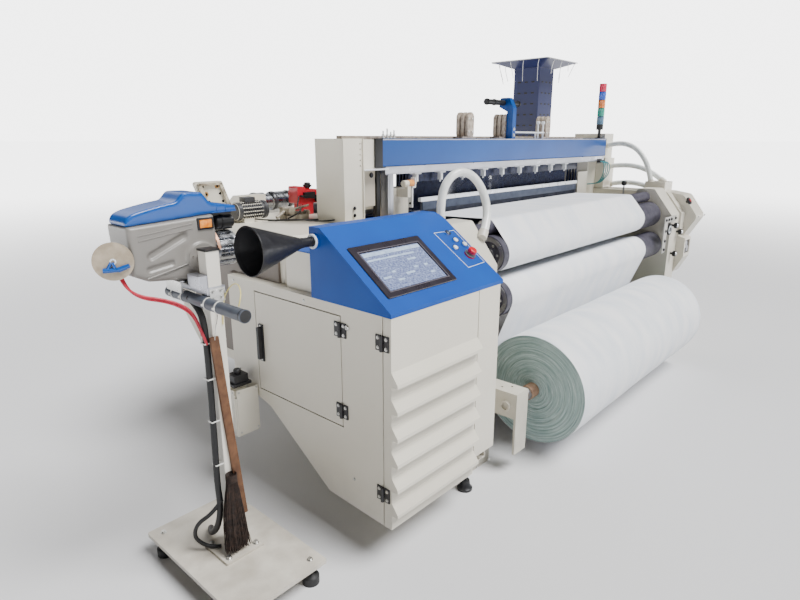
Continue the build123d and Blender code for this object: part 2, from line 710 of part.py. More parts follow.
# Posts: folded uprights on the side frames, joined to the beam by a side panel
POST_Y = 0
POST_WALL = 6
POST_HOLE_D = 9
SIDE_PANEL_T = 8
with BuildPart() as left_post:
    with BuildSketch(level(DRIVE_TOP_Z)):
        with Locations((POST_LEFT_X + POST_W / 2, POST_Y + POST_DEPTH / 2)):
            RectangleRounded(POST_W, POST_DEPTH, 5)
            RectangleRounded(POST_W - 2 * POST_WALL, POST_DEPTH - 2 * POST_WALL, 2, mode=Mode.SUBTRACT)
    extrude(amount=BEAM_TOP_Z - DRIVE_TOP_Z)
    for hole_number in range(5):
        rod_y(
            POST_Y + POST_WALL,
            POST_Y,
            POST_LEFT_X + POST_W - 18,
            BEAM_TOP_Z - 25 - 26 * hole_number,
            POST_HOLE_D / 2,
            Mode.SUBTRACT,
        )
    block(
        POST_LEFT_X + POST_W,
        BEAM_LEFT_X - BEAM_CAP_T,
        BEAM_Y + 10,
        BEAM_Y + BEAM_DEPTH - 5,
        BEAM_TOP_Z - BEAM_H - 8,
        BEAM_TOP_Z - 4,
    )
    block(
        POST_LEFT_X + POST_W,
        BEAM_LEFT_X + 90,
        POST_Y + 70,
        POST_Y + 70 + SIDE_PANEL_T,
        DRIVE_TOP_Z + 50,
        BEAM_TOP_Z - BEAM_H - 8,
    )
    block(
        POST_LEFT_X + POST_W,
        BEAM_LEFT_X + 20,
        BEAM_Y - 20,
        BEAM_Y + BEAM_DEPTH - 5,
        BEAM_TOP_Z - BEAM_H - 14,
        BEAM_TOP_Z - BEAM_H - 8,
    )
left_post.part.label = "left_post"
export_step(left_post.part, "parts/left_post.step")


RIGHT_BOX_X = BEAM_RIGHT_X + BEAM_CAP_T
RIGHT_BOX_W = 190
AIR_BOX_Z = 1195
AIR_BOX_STEP_Z = 1440
with BuildPart() as right_post:
    block(RIGHT_BOX_X - 160, OUTER_X, BEAM_Y + BEAM_DEPTH, 300, FRAME_TOP_Z, AIR_BOX_Z)
    block(RIGHT_BOX_X - 160, RIGHT_BOX_X, BEAM_Y + BEAM_DEPTH, 300, AIR_BOX_Z, BEAM_TOP_Z)
    block(RIGHT_BOX_X, RIGHT_BOX_X + RIGHT_BOX_W, AIR_BOX_Y, 300, AIR_BOX_Z, AIR_BOX_STEP_Z)
    block(
        RIGHT_BOX_X,
        RIGHT_BOX_X + RIGHT_BOX_W - 20,
        AIR_BOX_Y + 20,
        300,
        AIR_BOX_STEP_Z,
        BEAM_TOP_Z + 40,
    )
    for route in (TOP_ROUTE, MIDDLE_ROUTE, LOW_ROUTE):
        hose_stub(route[0], route[1])
right_post.part.label = "right_post"
export_step(right_post.part, "parts/right_post.step")

# Guides that stand on the beam and steer the heald frames, and the rear top rail
GUIDE_TOP_Z = 1755
REAR_RAIL_Y = 150
with BuildPart() as frame_guides:
    block(
        POST_LEFT_X + POST_W,
        BEAM_RIGHT_X - 154,
        REAR_RAIL_Y,
        REAR_RAIL_Y + 40,
        BEAM_TOP_Z - 10,
        BEAM_TOP_Z + 14,
    )
    for guide_x in (-475, -70, 490):
        for board in range(3):
            with BuildSketch(facing(REAR_RAIL_Y - 2 - 28 * board)):
                with Locations((guide_x + 10 * board, (BEAM_TOP_Z + GUIDE_TOP_Z) / 2)):
                    SlotOverall(GUIDE_TOP_Z - BEAM_TOP_Z, 66, rotation=90)
            extrude(amount=16)
        block(guide_x - 60, guide_x + 80, BEAM_Y + BEAM_DEPTH - 10, REAR_RAIL_Y, BEAM_TOP_Z, BEAM_TOP_Z + 12)
frame_guides.part.label = "frame_guides"
export_step(frame_guides.part, "parts/frame_guides.step")

BRACKET_X = -60
BRACKET_TOP_Z = 1857
YARN_ROD_Z = 1810
YARN_ROD_R = 17
with BuildPart() as yarn_bracket:
    with BuildSketch(across(BRACKET_X)):
        with BuildLine():
            Polyline(
                (BEAM_Y + 12, BEAM_TOP_Z),
                (BEAM_Y + 12, YARN_ROD_Z - 20),
                (BEAM_Y + 45, BRACKET_TOP_Z),
                (BEAM_Y + 110, BRACKET_TOP_Z),
                (BEAM_Y + 120, YARN_ROD_Z - 10),
                (BEAM_Y + 58, YARN_ROD_Z - 40),
                (BEAM_Y + 58, BEAM_TOP_Z),
                close=True,
            )
        make_face()
        fillet(vertices().group_by(Axis.Y)[-1], 12)
    extrude(amount=40)
    rod_x(BRACKET_X, BRACKET_X + 40, BEAM_Y + 85, YARN_ROD_Z + 15, YARN_ROD_R, Mode.SUBTRACT)
yarn_bracket.part.label = "yarn_bracket"
export_step(yarn_bracket.part, "parts/yarn_bracket.step")

with BuildPart() as yarn_rod:
    rod_x(BRACKET_X - 210, BRACKET_X + 180, BEAM_Y + 85, YARN_ROD_Z + 15, YARN_ROD_R)
yarn_rod.part.label = "yarn_rod"
export_step(yarn_rod.part, "parts/yarn_rod.step")

# Light tower on the beam: collar and five lamp segments, each its own solid
TOWER_X = 1350
TOWER_Y = BEAM_Y + 45
TOWER_R = 27.5
LAMP_COUNT = 5
LAMP_FOOT_Z = BEAM_TOP_Z + 110
LAMP_H = 64
LAMP_SEAM = 3
with BuildPart() as light_tower:
    rod_z(BEAM_TOP_Z, LAMP_FOOT_Z - 40, TOWER_X, TOWER_Y, 12)
    rod_z(BEAM_TOP_Z, BEAM_TOP_Z + 8, TOWER_X, TOWER_Y, 34)
    rod_z(LAMP_FOOT_Z - 40, LAMP_FOOT_Z, TOWER_X, TOWER_Y, TOWER_R)
    for number in range(LAMP_COUNT):
        lamp_foot = LAMP_FOOT_Z + number * LAMP_H
        rod_z(lamp_foot, lamp_foot + LAMP_SEAM, TOWER_X, TOWER_Y, TOWER_R - 2)
        rod_z(lamp_foot + LAMP_SEAM, lamp_foot + LAMP_H, TOWER_X, TOWER_Y, TOWER_R)
light_tower.part.label = "light_tower"
export_step(light_tower.part, "parts/light_tower.step")

# Selvedge creel: a box column behind the beam with a flared tray on top
CREEL_X, CREEL_Y = 1085, 550
CREEL_W = 236
CREEL_TOP_Z = 2155
TRAY_W = 530
TRAY_H = 50
CREEL_BEAM_Z = 1130
with BuildPart() as selvedge_creel:
    block(
        CREEL_X - CREEL_W / 2,
        CREEL_X + CREEL_W / 2,
        CREEL_Y - CREEL_W / 2,
        CREEL_Y + CREEL_W / 2,
        BACK_REST_Z,
        CREEL_TOP_Z,
        6,
    )
    with BuildSketch(level(CREEL_TOP_Z)):
        with Locations((CREEL_X, CREEL_Y)):
            RectangleRounded(CREEL_W + 20, CREEL_W + 20, 10)
    with BuildSketch(level(CREEL_TOP_Z + TRAY_H)):
        with Locations((CREEL_X, CREEL_Y)):
            RectangleRounded(TRAY_W, TRAY_W, 30)
    loft()
    block(-INNER_X, INNER_X, CREEL_Y - 45, CREEL_Y + 45, CREEL_BEAM_Z - 50, CREEL_BEAM_Z)
    block(CREEL_X - 60, CREEL_X + 60, CREEL_Y - 45, CREEL_Y + 45, CREEL_BEAM_Z, BACK_REST_Z)
selvedge_creel.part.label = "selvedge_creel"
export_step(selvedge_creel.part, "parts/selvedge_creel.step")

# Control cabinet: sheet walls round an open box, closed by a louvred door and a side door
DOOR_REAR_Y = CABINET_FRONT_Y + DOOR_D
WALL_FRONT_Y = DOOR_REAR_Y + MOVE_GAP
DOOR_RIGHT_X = -1590
STRIP_BOTTOM_Z = 240
INSIDE_LEFT_X = CABINET_LEFT_X + SHEET
INSIDE_RIGHT_X = CABINET_RIGHT_X - SHEET
SLANT = [(-447, 180), (-60, 440), (CABINET_REAR_Y, 510)]
WALL_OUTLINE = [
    (WALL_FRONT_Y, CABINET_BOTTOM_Z),
    *SLANT,
    (CABINET_REAR_Y, CABINET_TOP_Z),
    (WALL_FRONT_Y, CABINET_TOP_Z),
]
CAVITY_OUTLINE = [
    (WALL_FRONT_Y - 2 * SHEET, CABINET_BOTTOM_Z),
    *WALL_OUTLINE[1:-1],
    (WALL_FRONT_Y - 2 * SHEET, CABINET_TOP_Z),
]
with BuildPart() as cabinet_left_wall:
    prism_x(WALL_OUTLINE, CABINET_LEFT_X, CABINET_LEFT_X + SHEET)
    block(
        CABINET_LEFT_X,
        CABINET_LEFT_X + SHEET,
        SIDE_DOOR_FRONT_Y,
        SIDE_DOOR_REAR_Y,
        SIDE_DOOR_BOTTOM_Z,
        SIDE_DOOR_TOP_Z,
        mode=Mode.SUBTRACT,
    )
cabinet_left_wall.part.label = "cabinet_left_wall"
export_step(cabinet_left_wall.part, "parts/cabinet_left_wall.step")

with BuildPart() as cabinet_shell:
    prism_x(WALL_OUTLINE, INSIDE_LEFT_X, CABINET_RIGHT_X)
    with BuildSketch(across(INSIDE_LEFT_X)) as cavity:
        with BuildLine():
            Polyline(CAVITY_OUTLINE, close=True)
        make_face()
        offset(amount=-SHEET, kind=Kind.INTERSECTION)
    extrude(cavity.sketch, amount=INSIDE_RIGHT_X - INSIDE_LEFT_X, mode=Mode.SUBTRACT)
    block(
        DOOR_RIGHT_X + MOVE_GAP,
        CABINET_RIGHT_X,
        CABINET_FRONT_Y,
        WALL_FRONT_Y,
        STRIP_BOTTOM_Z,
        CABINET_TOP_Z,
    )
    # Carrier: brackets that hold the cabinet off the left side frame
    block(CABINET_RIGHT_X, -OUTER_X, -600, -500, 620, 760)
    block(CABINET_RIGHT_X, -OUTER_X, 60, 200, 620, 760)
cabinet_shell.part.label = "cabinet_shell"
export_step(cabinet_shell.part, "parts/cabinet_shell.step")

# Louvred door: a folded tray whose front is pressed out into downward louvres
LOUVRE_COUNT = 6
LOUVRE_PITCH = 105
LOUVRE_TOP_Z = 806
LOUVRE_OUT = 30
LOUVRE_DROP = 40
LOUVRE_LIP = 14
LOUVRE_T = 3
DOOR_EDGE = 4
with BuildPart() as louvred_door:
    block(CABINET_LEFT_X, DOOR_RIGHT_X, CABINET_FRONT_Y, DOOR_REAR_Y, CABINET_BOTTOM_Z, CABINET_TOP_Z - 1)
    block(
        CABINET_LEFT_X + DOOR_EDGE,
        DOOR_RIGHT_X - DOOR_EDGE,
        CABINET_FRONT_Y + LOUVRE_T,
        DOOR_REAR_Y,
        CABINET_BOTTOM_Z + DOOR_EDGE,
        CABINET_TOP_Z - 1 - DOOR_EDGE,
        mode=Mode.SUBTRACT,
    )
    for louvre_number in range(LOUVRE_COUNT):
        top_z = LOUVRE_TOP_Z - louvre_number * LOUVRE_PITCH
        tip_y = CABINET_FRONT_Y - LOUVRE_OUT
        tip_z = top_z - LOUVRE_DROP
        lip_z = tip_z - LOUVRE_LIP
        hood = [
            (CABINET_FRONT_Y, top_z),
            (tip_y, tip_z),
            (tip_y, lip_z),
            (CABINET_FRONT_Y, lip_z),
        ]
        prism_x(hood, CABINET_LEFT_X, DOOR_RIGHT_X)
        hollow = [
            (CABINET_FRONT_Y + LOUVRE_T, top_z - LOUVRE_T),
            (CABINET_FRONT_Y, top_z - LOUVRE_T),
            (tip_y + LOUVRE_T, tip_z - LOUVRE_T / 2),
            (tip_y + LOUVRE_T, lip_z),
            (CABINET_FRONT_Y + LOUVRE_T, lip_z),
        ]
        prism_x(hollow, CABINET_LEFT_X + DOOR_EDGE, DOOR_RIGHT_X - DOOR_EDGE, mode=Mode.SUBTRACT)
louvred_door.part.label = "louvred_door"
export_step(louvred_door.part, "parts/louvred_door.step")

# Side door: a flush panel with folded edges and a pull handle near its rear edge
SIDE_DOOR_T = 18
with BuildPart() as side_door:
    block(
        CABINET_LEFT_X,
        CABINET_LEFT_X + SIDE_DOOR_T,
        SIDE_DOOR_FRONT_Y + MOVE_GAP,
        SIDE_DOOR_REAR_Y - MOVE_GAP,
        SIDE_DOOR_BOTTOM_Z + MOVE_GAP,
        SIDE_DOOR_TOP_Z - MOVE_GAP,
    )
    block(
        CABINET_LEFT_X + 2,
        CABINET_LEFT_X + SIDE_DOOR_T,
        SIDE_DOOR_FRONT_Y + MOVE_GAP + 2,
        SIDE_DOOR_REAR_Y - MOVE_GAP - 2,
        SIDE_DOOR_BOTTOM_Z + MOVE_GAP + 2,
        SIDE_DOOR_TOP_Z - MOVE_GAP - 2,
        mode=Mode.SUBTRACT,
    )
side_door.part.label = "side_door"
export_step(side_door.part, "parts/side_door.step")

HANDLE_Y = -25
HANDLE_LOW_Z, HANDLE_HIGH_Z = 650, 820

# Face hinges: a leaf on each side of the seam, half a barrel each, and a pin
HINGE_H = 58
LEAF_L = 24
LEAF_T = 5
PIN_R = 3
HINGE_X = CABINET_LEFT_X - HINGE_OUT
DOOR_HINGE_Y = (DOOR_REAR_Y + WALL_FRONT_Y) / 2
DOOR_HINGE_Z = (305, 908)
SIDE_HINGE_Y = SIDE_DOOR_FRONT_Y + MOVE_GAP / 2
SIDE_HINGE_Z = (577, 910)


def hinge_leaf(pin_y, middle_z, side, moving):
    """One leaf of a face hinge. The fixed leaf has the lower half of the barrel and the pin."""
    low_z = middle_z + FACE_GAP if moving else middle_z - HINGE_H / 2
    high_z = middle_z + HINGE_H / 2 if moving else middle_z
    near_y = pin_y + side * (HINGE_R + 1)
    far_y = near_y + side * LEAF_L
    face_x = CABINET_LEFT_X - LEAF_T
    block(
        face_x,
        CABINET_LEFT_X,
        min(near_y, far_y),
        max(near_y, far_y),
        middle_z - HINGE_H / 2,
        middle_z + HINGE_H / 2,
    )
    block(face_x, CABINET_LEFT_X - FACE_GAP, min(pin_y, near_y), max(pin_y, near_y), low_z, high_z)
    rod_z(low_z, high_z, HINGE_X, pin_y, HINGE_R)
    if moving:
        rod_z(low_z, high_z, HINGE_X, pin_y, PIN_R + RUN_FIT, Mode.SUBTRACT)
    else:
        rod_z(high_z, high_z + HINGE_H / 2 - 1, HINGE_X, pin_y, PIN_R)


with BuildPart() as fixed_hinges:
    for middle_z in DOOR_HINGE_Z:
        hinge_leaf(DOOR_HINGE_Y, middle_z, 1, False)
    for middle_z in SIDE_HINGE_Z:
        hinge_leaf(SIDE_HINGE_Y, middle_z, -1, False)
fixed_hinges.part.label = "fixed_hinges"
export_step(fixed_hinges.part, "parts/fixed_hinges.step")

with BuildPart() as louvred_door_hinges:
    for middle_z in DOOR_HINGE_Z:
        hinge_leaf(DOOR_HINGE_Y, middle_z, -1, True)
louvred_door_hinges.part.label = "louvred_door_hinges"
export_step(louvred_door_hinges.part, "parts/louvred_door_hinges.step")

with BuildPart() as side_door_fittings:
    for middle_z in SIDE_HINGE_Z:
        hinge_leaf(SIDE_HINGE_Y, middle_z, 1, True)
    block(
        CABINET_LEFT_X - 6,
        CABINET_LEFT_X,
        HANDLE_Y - 15,
        HANDLE_Y + 15,
        HANDLE_LOW_Z,
        HANDLE_HIGH_Z,
    )
    prism_x(
        [
            (HANDLE_Y - 9, HANDLE_LOW_Z + 12),
            (HANDLE_Y + 9, HANDLE_LOW_Z + 12),
            (HANDLE_Y + 7, HANDLE_HIGH_Z - 10),
            (HANDLE_Y - 7, HANDLE_HIGH_Z - 10),
        ],
        CABINET_LEFT_X - 24,
        CABINET_LEFT_X - 6,
        4,
    )
side_door_fittings.part.label = "side_door_fittings"
export_step(side_door_fittings.part, "parts/side_door_fittings.step")

# Control console: a blue wedge on the cabinet, with a screen and push buttons on its slope
CONSOLE_FLAT_Y = CONSOLE_BACK_Y - CONSOLE_FLAT_D
SLOPE_MID_Y = (CONSOLE_FLAT_Y + CABINET_FRONT_Y) / 2
SLOPE_MID_Z = (CONSOLE_TOP_Z + CONSOLE_FRONT_Z) / 2
SLOPE_ANGLE = degrees(atan2(CONSOLE_TOP_Z - CONSOLE_FRONT_Z, CONSOLE_FLAT_Y - CABINET_FRONT_Y))
CONSOLE_MID_X = (CABINET_LEFT_X + CABINET_RIGHT_X) / 2
SLOPE = Plane(
    origin=(CONSOLE_MID_X, SLOPE_MID_Y, SLOPE_MID_Z),
    x_dir=(1, 0, 0),
    z_dir=(0, -sin(radians(SLOPE_ANGLE)), cos(radians(SLOPE_ANGLE))),
)
SCREEN_X, SCREEN_UP = -100, -30
SCREEN_W, SCREEN_H = 400, 262
SCREEN_DEEP, SCREEN_PROUD = 14, 5
BUTTONS = {"a": (285, 82), "b": (290, 34), "c": (322, 2), "d": (248, -6)}
BUTTON_R = 11
STOP_X, STOP_UP = 300, -56
STOP_R = 20
FUNNEL_Y, FUNNEL_Z = -412, 1230
FUNNEL_SOCKET_R = 24
SPOUT_R = 15
with BuildPart() as control_console:
    prism_x(
        [
            (CABINET_FRONT_Y, CABINET_TOP_Z),
            (CONSOLE_BACK_Y, CABINET_TOP_Z),
            (CONSOLE_BACK_Y, CONSOLE_TOP_Z),
            (CONSOLE_FLAT_Y, CONSOLE_TOP_Z),
            (CABINET_FRONT_Y, CONSOLE_FRONT_Z),
        ],
        CABINET_LEFT_X,
        CONSOLE_RIGHT_X,
    )
    fillet(control_console.edges().group_by(Axis.X)[-1].sort_by(Axis.Z)[-1], 40)
    with BuildSketch(SLOPE):
        with Locations((SCREEN_X, SCREEN_UP)):
            RectangleRounded(SCREEN_W + 2 * FACE_GAP, SCREEN_H + 2 * FACE_GAP, 8)
    extrude(amount=-SCREEN_DEEP, mode=Mode.SUBTRACT)
    with BuildSketch(SLOPE):
        with Locations(*BUTTONS.values()):
            Circle(BUTTON_R)
        with Locations((STOP_X, STOP_UP)):
            Circle(STOP_R / 2)
    extrude(amount=-SCREEN_DEEP, mode=Mode.SUBTRACT)
    rod_x(CABINET_LEFT_X - 8, CABINET_LEFT_X, FUNNEL_Y, FUNNEL_Z, FUNNEL_SOCKET_R + 4)
    rod_x(CABINET_LEFT_X - 8, CABINET_LEFT_X + 22, FUNNEL_Y, FUNNEL_Z, SPOUT_R + RUN_FIT, Mode.SUBTRACT)
control_console.part.label = "control_console"
export_step(control_console.part, "parts/control_console.step")

with BuildPart() as touch_screen:
    with BuildSketch(SLOPE.offset(-SCREEN_DEEP)):
        with Locations((SCREEN_X, SCREEN_UP)):
            RectangleRounded(SCREEN_W, SCREEN_H, 8)
    extrude(amount=SCREEN_DEEP + SCREEN_PROUD)
    chamfer(touch_screen.faces().sort_by(SortBy.AREA)[-1].outer_wire().edges(), 2)
    with BuildSketch(SLOPE.offset(SCREEN_PROUD)):
        with Locations((SCREEN_X, SCREEN_UP - 4)):
            Rectangle(SCREEN_W - 70, SCREEN_H - 64)
    extrude(amount=-3, mode=Mode.SUBTRACT)
touch_screen.part.label = "touch_screen"
export_step(touch_screen.part, "parts/touch_screen.step")

with BuildPart() as console_buttons:
    with BuildSketch(SLOPE.offset(-SCREEN_DEEP)):
        with Locations(*BUTTONS.values()):
            Circle(BUTTON_R)
    extrude(amount=SCREEN_DEEP)
    with BuildSketch(SLOPE):
        with Locations(*BUTTONS.values()):
            Circle(BUTTON_R + 3)
    extrude(amount=7)
    for from_depth, to_depth, radius in (
        (-SCREEN_DEEP, 0, STOP_R / 2),
        (0, 5, STOP_R + 6),
        (5, 18, STOP_R - 6),
        (18, 34, STOP_R),
    ):
        with BuildSketch(SLOPE.offset(from_depth)):
            with Locations((STOP_X, STOP_UP)):
                Circle(radius)
        extrude(amount=to_depth - from_depth)
    fillet(console_buttons.faces().sort_by(Axis(SLOPE.origin, SLOPE.z_dir))[-1].edges(), 7)
console_buttons.part.label = "console_buttons"
export_step(console_buttons.part, "parts/console_buttons.step")

# Funnel: a thin cone whose spout fits the chromed socket in the console's side
FUNNEL_MOUTH_R = 87
FUNNEL_WALL = 2.5
SPOUT_L = 70
FUNNEL_L = 290
CONE_END_X = CABINET_LEFT_X - FUNNEL_L + 18

with BuildPart() as funnel:
    with BuildSketch(facing(FUNNEL_Y)):
        with BuildLine():
            Polyline(
                (CABINET_LEFT_X + 20, FUNNEL_Z + SPOUT_R),
                (CABINET_LEFT_X - 12, FUNNEL_Z + SPOUT_R),
                (CABINET_LEFT_X - SPOUT_L, FUNNEL_Z + SPOUT_R + 5),
                (CONE_END_X, FUNNEL_Z + FUNNEL_MOUTH_R - 4),
                (CABINET_LEFT_X - FUNNEL_L, FUNNEL_Z + FUNNEL_MOUTH_R),
                (CABINET_LEFT_X - FUNNEL_L, FUNNEL_Z + FUNNEL_MOUTH_R - FUNNEL_WALL),
                (CONE_END_X, FUNNEL_Z + FUNNEL_MOUTH_R - 4 - FUNNEL_WALL),
                (CABINET_LEFT_X - SPOUT_L, FUNNEL_Z + SPOUT_R + 5 - FUNNEL_WALL),
                (CABINET_LEFT_X - 12, FUNNEL_Z + SPOUT_R - FUNNEL_WALL),
                (CABINET_LEFT_X + 20, FUNNEL_Z + SPOUT_R - FUNNEL_WALL),
                close=True,
            )
        make_face()
    revolve(axis=Axis((0, FUNNEL_Y, FUNNEL_Z), (1, 0, 0)))
funnel.part.label = "funnel"
export_step(funnel.part, "parts/funnel.step")

# Junction box with a hooded plug on top, on the drive housing's outer side
JUNCTION_X, JUNCTION_Y, JUNCTION_Z = -2235, 30, 300
JUNCTION_W, JUNCTION_D, JUNCTION_H = 110, 120, 185
with BuildPart() as junction_box:
    block(
        JUNCTION_X,
        JUNCTION_X + JUNCTION_W,
        JUNCTION_Y,
        JUNCTION_Y + JUNCTION_D,
        JUNCTION_Z,
        JUNCTION_Z + JUNCTION_H,
        6,
    )
    block(
        JUNCTION_X + JUNCTION_W,
        CABINET_LEFT_X,
        JUNCTION_Y + 60,
        JUNCTION_Y + JUNCTION_D,
        JUNCTION_Z + JUNCTION_H - 40,
        JUNCTION_Z + JUNCTION_H,
    )
    block(
        JUNCTION_X + 20,
        JUNCTION_X + 80,
        JUNCTION_Y + 30,
        JUNCTION_Y + 90,
        JUNCTION_Z + JUNCTION_H,
        JUNCTION_Z + JUNCTION_H + 45,
        8,
    )
junction_box.part.label = "junction_box"
export_step(junction_box.part, "parts/junction_box.step")

# Drive housing: a rounded casting that fills the corner behind and above the cabinet
MOTOR_X = (-1905, -1745)
MOTOR_Y = 450
MOTOR_R = 42
MOTOR_FIN_H = 7
MOTOR_FIN_COUNT = 16
MOTOR_Z = DRIVE_TOP_Z + MOTOR_R + MOTOR_FIN_H + 6
BRACKET_Y = 515
BRACKET_T = 22
BRACKET_W = 150
BRACKET_LEAN = 75
BRACKET_H = 205
BRACKET_FOOT_X = -2000
with BuildPart() as drive_housing:
    prism_x(
        [
            (DRIVE_FRONT_Y, CABINET_TOP_Z),
            (CABINET_REAR_Y, CABINET_TOP_Z),
            (CABINET_REAR_Y, DRIVE_BOTTOM_Z),
            (DRIVE_REAR_Y - 180, DRIVE_BOTTOM_Z),
            (DRIVE_REAR_Y, DRIVE_BOTTOM_Z + 180),
            (DRIVE_REAR_Y, DRIVE_TOP_Z - 90),
            (DRIVE_REAR_Y - 130, DRIVE_TOP_Z),
            (DRIVE_FRONT_Y + 60, DRIVE_TOP_Z),
            (DRIVE_FRONT_Y, DRIVE_TOP_Z - 60),
        ],
        DRIVE_LEFT_X,
        -OUTER_X,
    )
    fillet(drive_housing.edges().filter_by(Axis.X).sort_by(Axis.Z)[-4:], 30)
    chamfer(drive_housing.faces().sort_by(Axis.X)[0].edges().group_by(Axis.Z)[-1], 20)
    prism_x(
        [
            (620, DRIVE_TOP_Z),
            (760, DRIVE_TOP_Z - 60),
            (760, DRIVE_TOP_Z + 60),
            (690, DRIVE_TOP_Z + 110),
            (620, DRIVE_TOP_Z + 110),
        ],
        -1760,
        -1600,
    )
    # Finned motor along X, on a foot
    rod_x(*MOTOR_X, MOTOR_Y, MOTOR_Z, MOTOR_R)
    with BuildSketch(across(MOTOR_X[0] + 22)):
        with Locations((MOTOR_Y, MOTOR_Z)):
            with PolarLocations(MOTOR_R + MOTOR_FIN_H / 2 - 1, MOTOR_FIN_COUNT):
                Rectangle(MOTOR_FIN_H + 2, 4)
    extrude(amount=MOTOR_X[1] - MOTOR_X[0] - 44)
    block(MOTOR_X[0] + 30, MOTOR_X[1] - 30, MOTOR_Y - 35, MOTOR_Y + 35, DRIVE_TOP_Z, MOTOR_Z - MOTOR_R + 12)
    # Bracket plate that leans over the motor, with adjusting holes
    with BuildSketch(facing(BRACKET_Y + BRACKET_T)) as bracket_plate:
        with BuildLine():
            Polyline(
                (BRACKET_FOOT_X, DRIVE_TOP_Z),
                (BRACKET_FOOT_X + BRACKET_W, DRIVE_TOP_Z),
                (BRACKET_FOOT_X + BRACKET_W - BRACKET_LEAN, DRIVE_TOP_Z + BRACKET_H),
                (BRACKET_FOOT_X - BRACKET_LEAN, DRIVE_TOP_Z + BRACKET_H),
                close=True,
            )
        make_face()
        fillet(bracket_plate.vertices().group_by(Axis.Y)[-1], 12)
        for hole_row in range(5):
            rise = 30 + 38 * hole_row
            row_x = BRACKET_FOOT_X + BRACKET_W / 2 - BRACKET_LEAN * rise / BRACKET_H
            with Locations((row_x, DRIVE_TOP_Z + rise)):
                with GridLocations(76, 1, 2, 1):
                    Circle(7, mode=Mode.SUBTRACT)
    extrude(bracket_plate.sketch, amount=BRACKET_T)
drive_housing.part.label = "drive_housing"
export_step(drive_housing.part, "parts/drive_housing.step")

# Relay box on the cabinet's top, behind the console
with BuildPart() as relay_box:
    block(CABINET_LEFT_X + 40, CABINET_LEFT_X + 260, -340, -170, CABINET_TOP_Z, 1165, 4)
relay_box.part.label = "relay_box"
export_step(relay_box.part, "parts/relay_box.step")

# Let-off head: a red casting with a clamping knob and a beige disc, on a foot on the drive housing
LET_OFF_Y = 450
LET_OFF_D = 80
LET_OFF_X = (-1512, -1300)
LET_OFF_BASE_Z = DRIVE_TOP_Z + 62
LET_OFF_DISC_R = 58
with BuildPart() as let_off_head:
    let_off_foot_x = LET_OFF_X[0] + 30
    block(let_off_foot_x, let_off_foot_x + 80, LET_OFF_Y, LET_OFF_Y + LET_OFF_D, DRIVE_TOP_Z, LET_OFF_BASE_Z, 8)
    with BuildSketch(facing(LET_OFF_Y + LET_OFF_D)) as head_profile:
        with BuildLine():
            Polyline(
                (LET_OFF_X[0], LET_OFF_BASE_Z),
                (LET_OFF_X[0], LET_OFF_BASE_Z + 92),
                (LET_OFF_X[0] + 45, LET_OFF_BASE_Z + 92),
                (LET_OFF_X[0] + 60, LET_OFF_BASE_Z + 70),
                (LET_OFF_X[1] - 50, LET_OFF_BASE_Z + 70),
                (LET_OFF_X[1], LET_OFF_BASE_Z + 40),
                (LET_OFF_X[1], LET_OFF_BASE_Z - 10),
                (LET_OFF_X[1] - 60, LET_OFF_BASE_Z - 10),
                (LET_OFF_X[1] - 80, LET_OFF_BASE_Z),
                close=True,
            )
        make_face()
        fillet(head_profile.vertices(), 8)
    extrude(head_profile.sketch, amount=LET_OFF_D)
    rod_z(
        LET_OFF_BASE_Z + 70,
        LET_OFF_BASE_Z + 108,
        LET_OFF_X[0] + 100,
        LET_OFF_Y + LET_OFF_D / 2,
        13,
    )
    rod_y(LET_OFF_Y, LET_OFF_Y - 24, LET_OFF_X[1] - 30, LET_OFF_BASE_Z + 12, 16)
    rod_y(LET_OFF_Y - 24, LET_OFF_Y - 40, LET_OFF_X[1] - 30, LET_OFF_BASE_Z + 12, LET_OFF_DISC_R)
    fillet(let_off_head.faces().sort_by(Axis.Y)[0].edges(), 6)
let_off_head.part.label = "let_off_head"
export_step(let_off_head.part, "parts/let_off_head.step")

# Right end: rounded cover and leg panel outside the right side frame
COVER_X = 1690
GEAR_CASE_X = 1470
COVER_TOP_Z = 1188
MANIFOLD_X = 1435
MANIFOLD_TOP_Z = 1262
with BuildPart() as right_cover:
    with BuildSketch(across(GEAR_CASE_X)):
        with BuildLine():
            Polyline(
                (-644, 815),
                (-750, 1005),
                (-630, 1168),
                (-500, COVER_TOP_Z),
                (300, COVER_TOP_Z),
                (300, 900),
                (-200, 780),
                close=True,
            )
        make_face()
        fillet(vertices(), 45)
    extrude(amount=COVER_X - GEAR_CASE_X)
    fillet(right_cover.faces().sort_by(Axis.X)[-1].edges(), 25)
    prism_x(
        [(-655, 860), (-655, 1035), (-530, COVER_TOP_Z), (250, COVER_TOP_Z), (250, 860)],
        OUTER_X,
        GEAR_CASE_X,
        14,
    )
    block(
        MANIFOLD_X,
        MANIFOLD_X + 180,
        AIR_BOX_Y - 500,
        AIR_BOX_Y - 338,
        1100,
        MANIFOLD_TOP_Z,
        8,
    )
    for route in (TOP_ROUTE, MIDDLE_ROUTE, LOW_ROUTE):
        hose_stub(route[-1], route[-2])
    # Panel over the drive's lower end, with a window that shows the gear wheels
    prism_x(
        [(-705, 840), (-705, 690), (-640, 560), (-400, 560), (-400, 860), (-640, 860)],
        OUTER_X,
        OUTER_X + 150,
    )
    block(OUTER_X + 22, OUTER_X + 128, -705, -693, 715, 822, mode=Mode.SUBTRACT)
right_cover.part.label = "right_cover"
export_step(right_cover.part, "parts/right_cover.step")

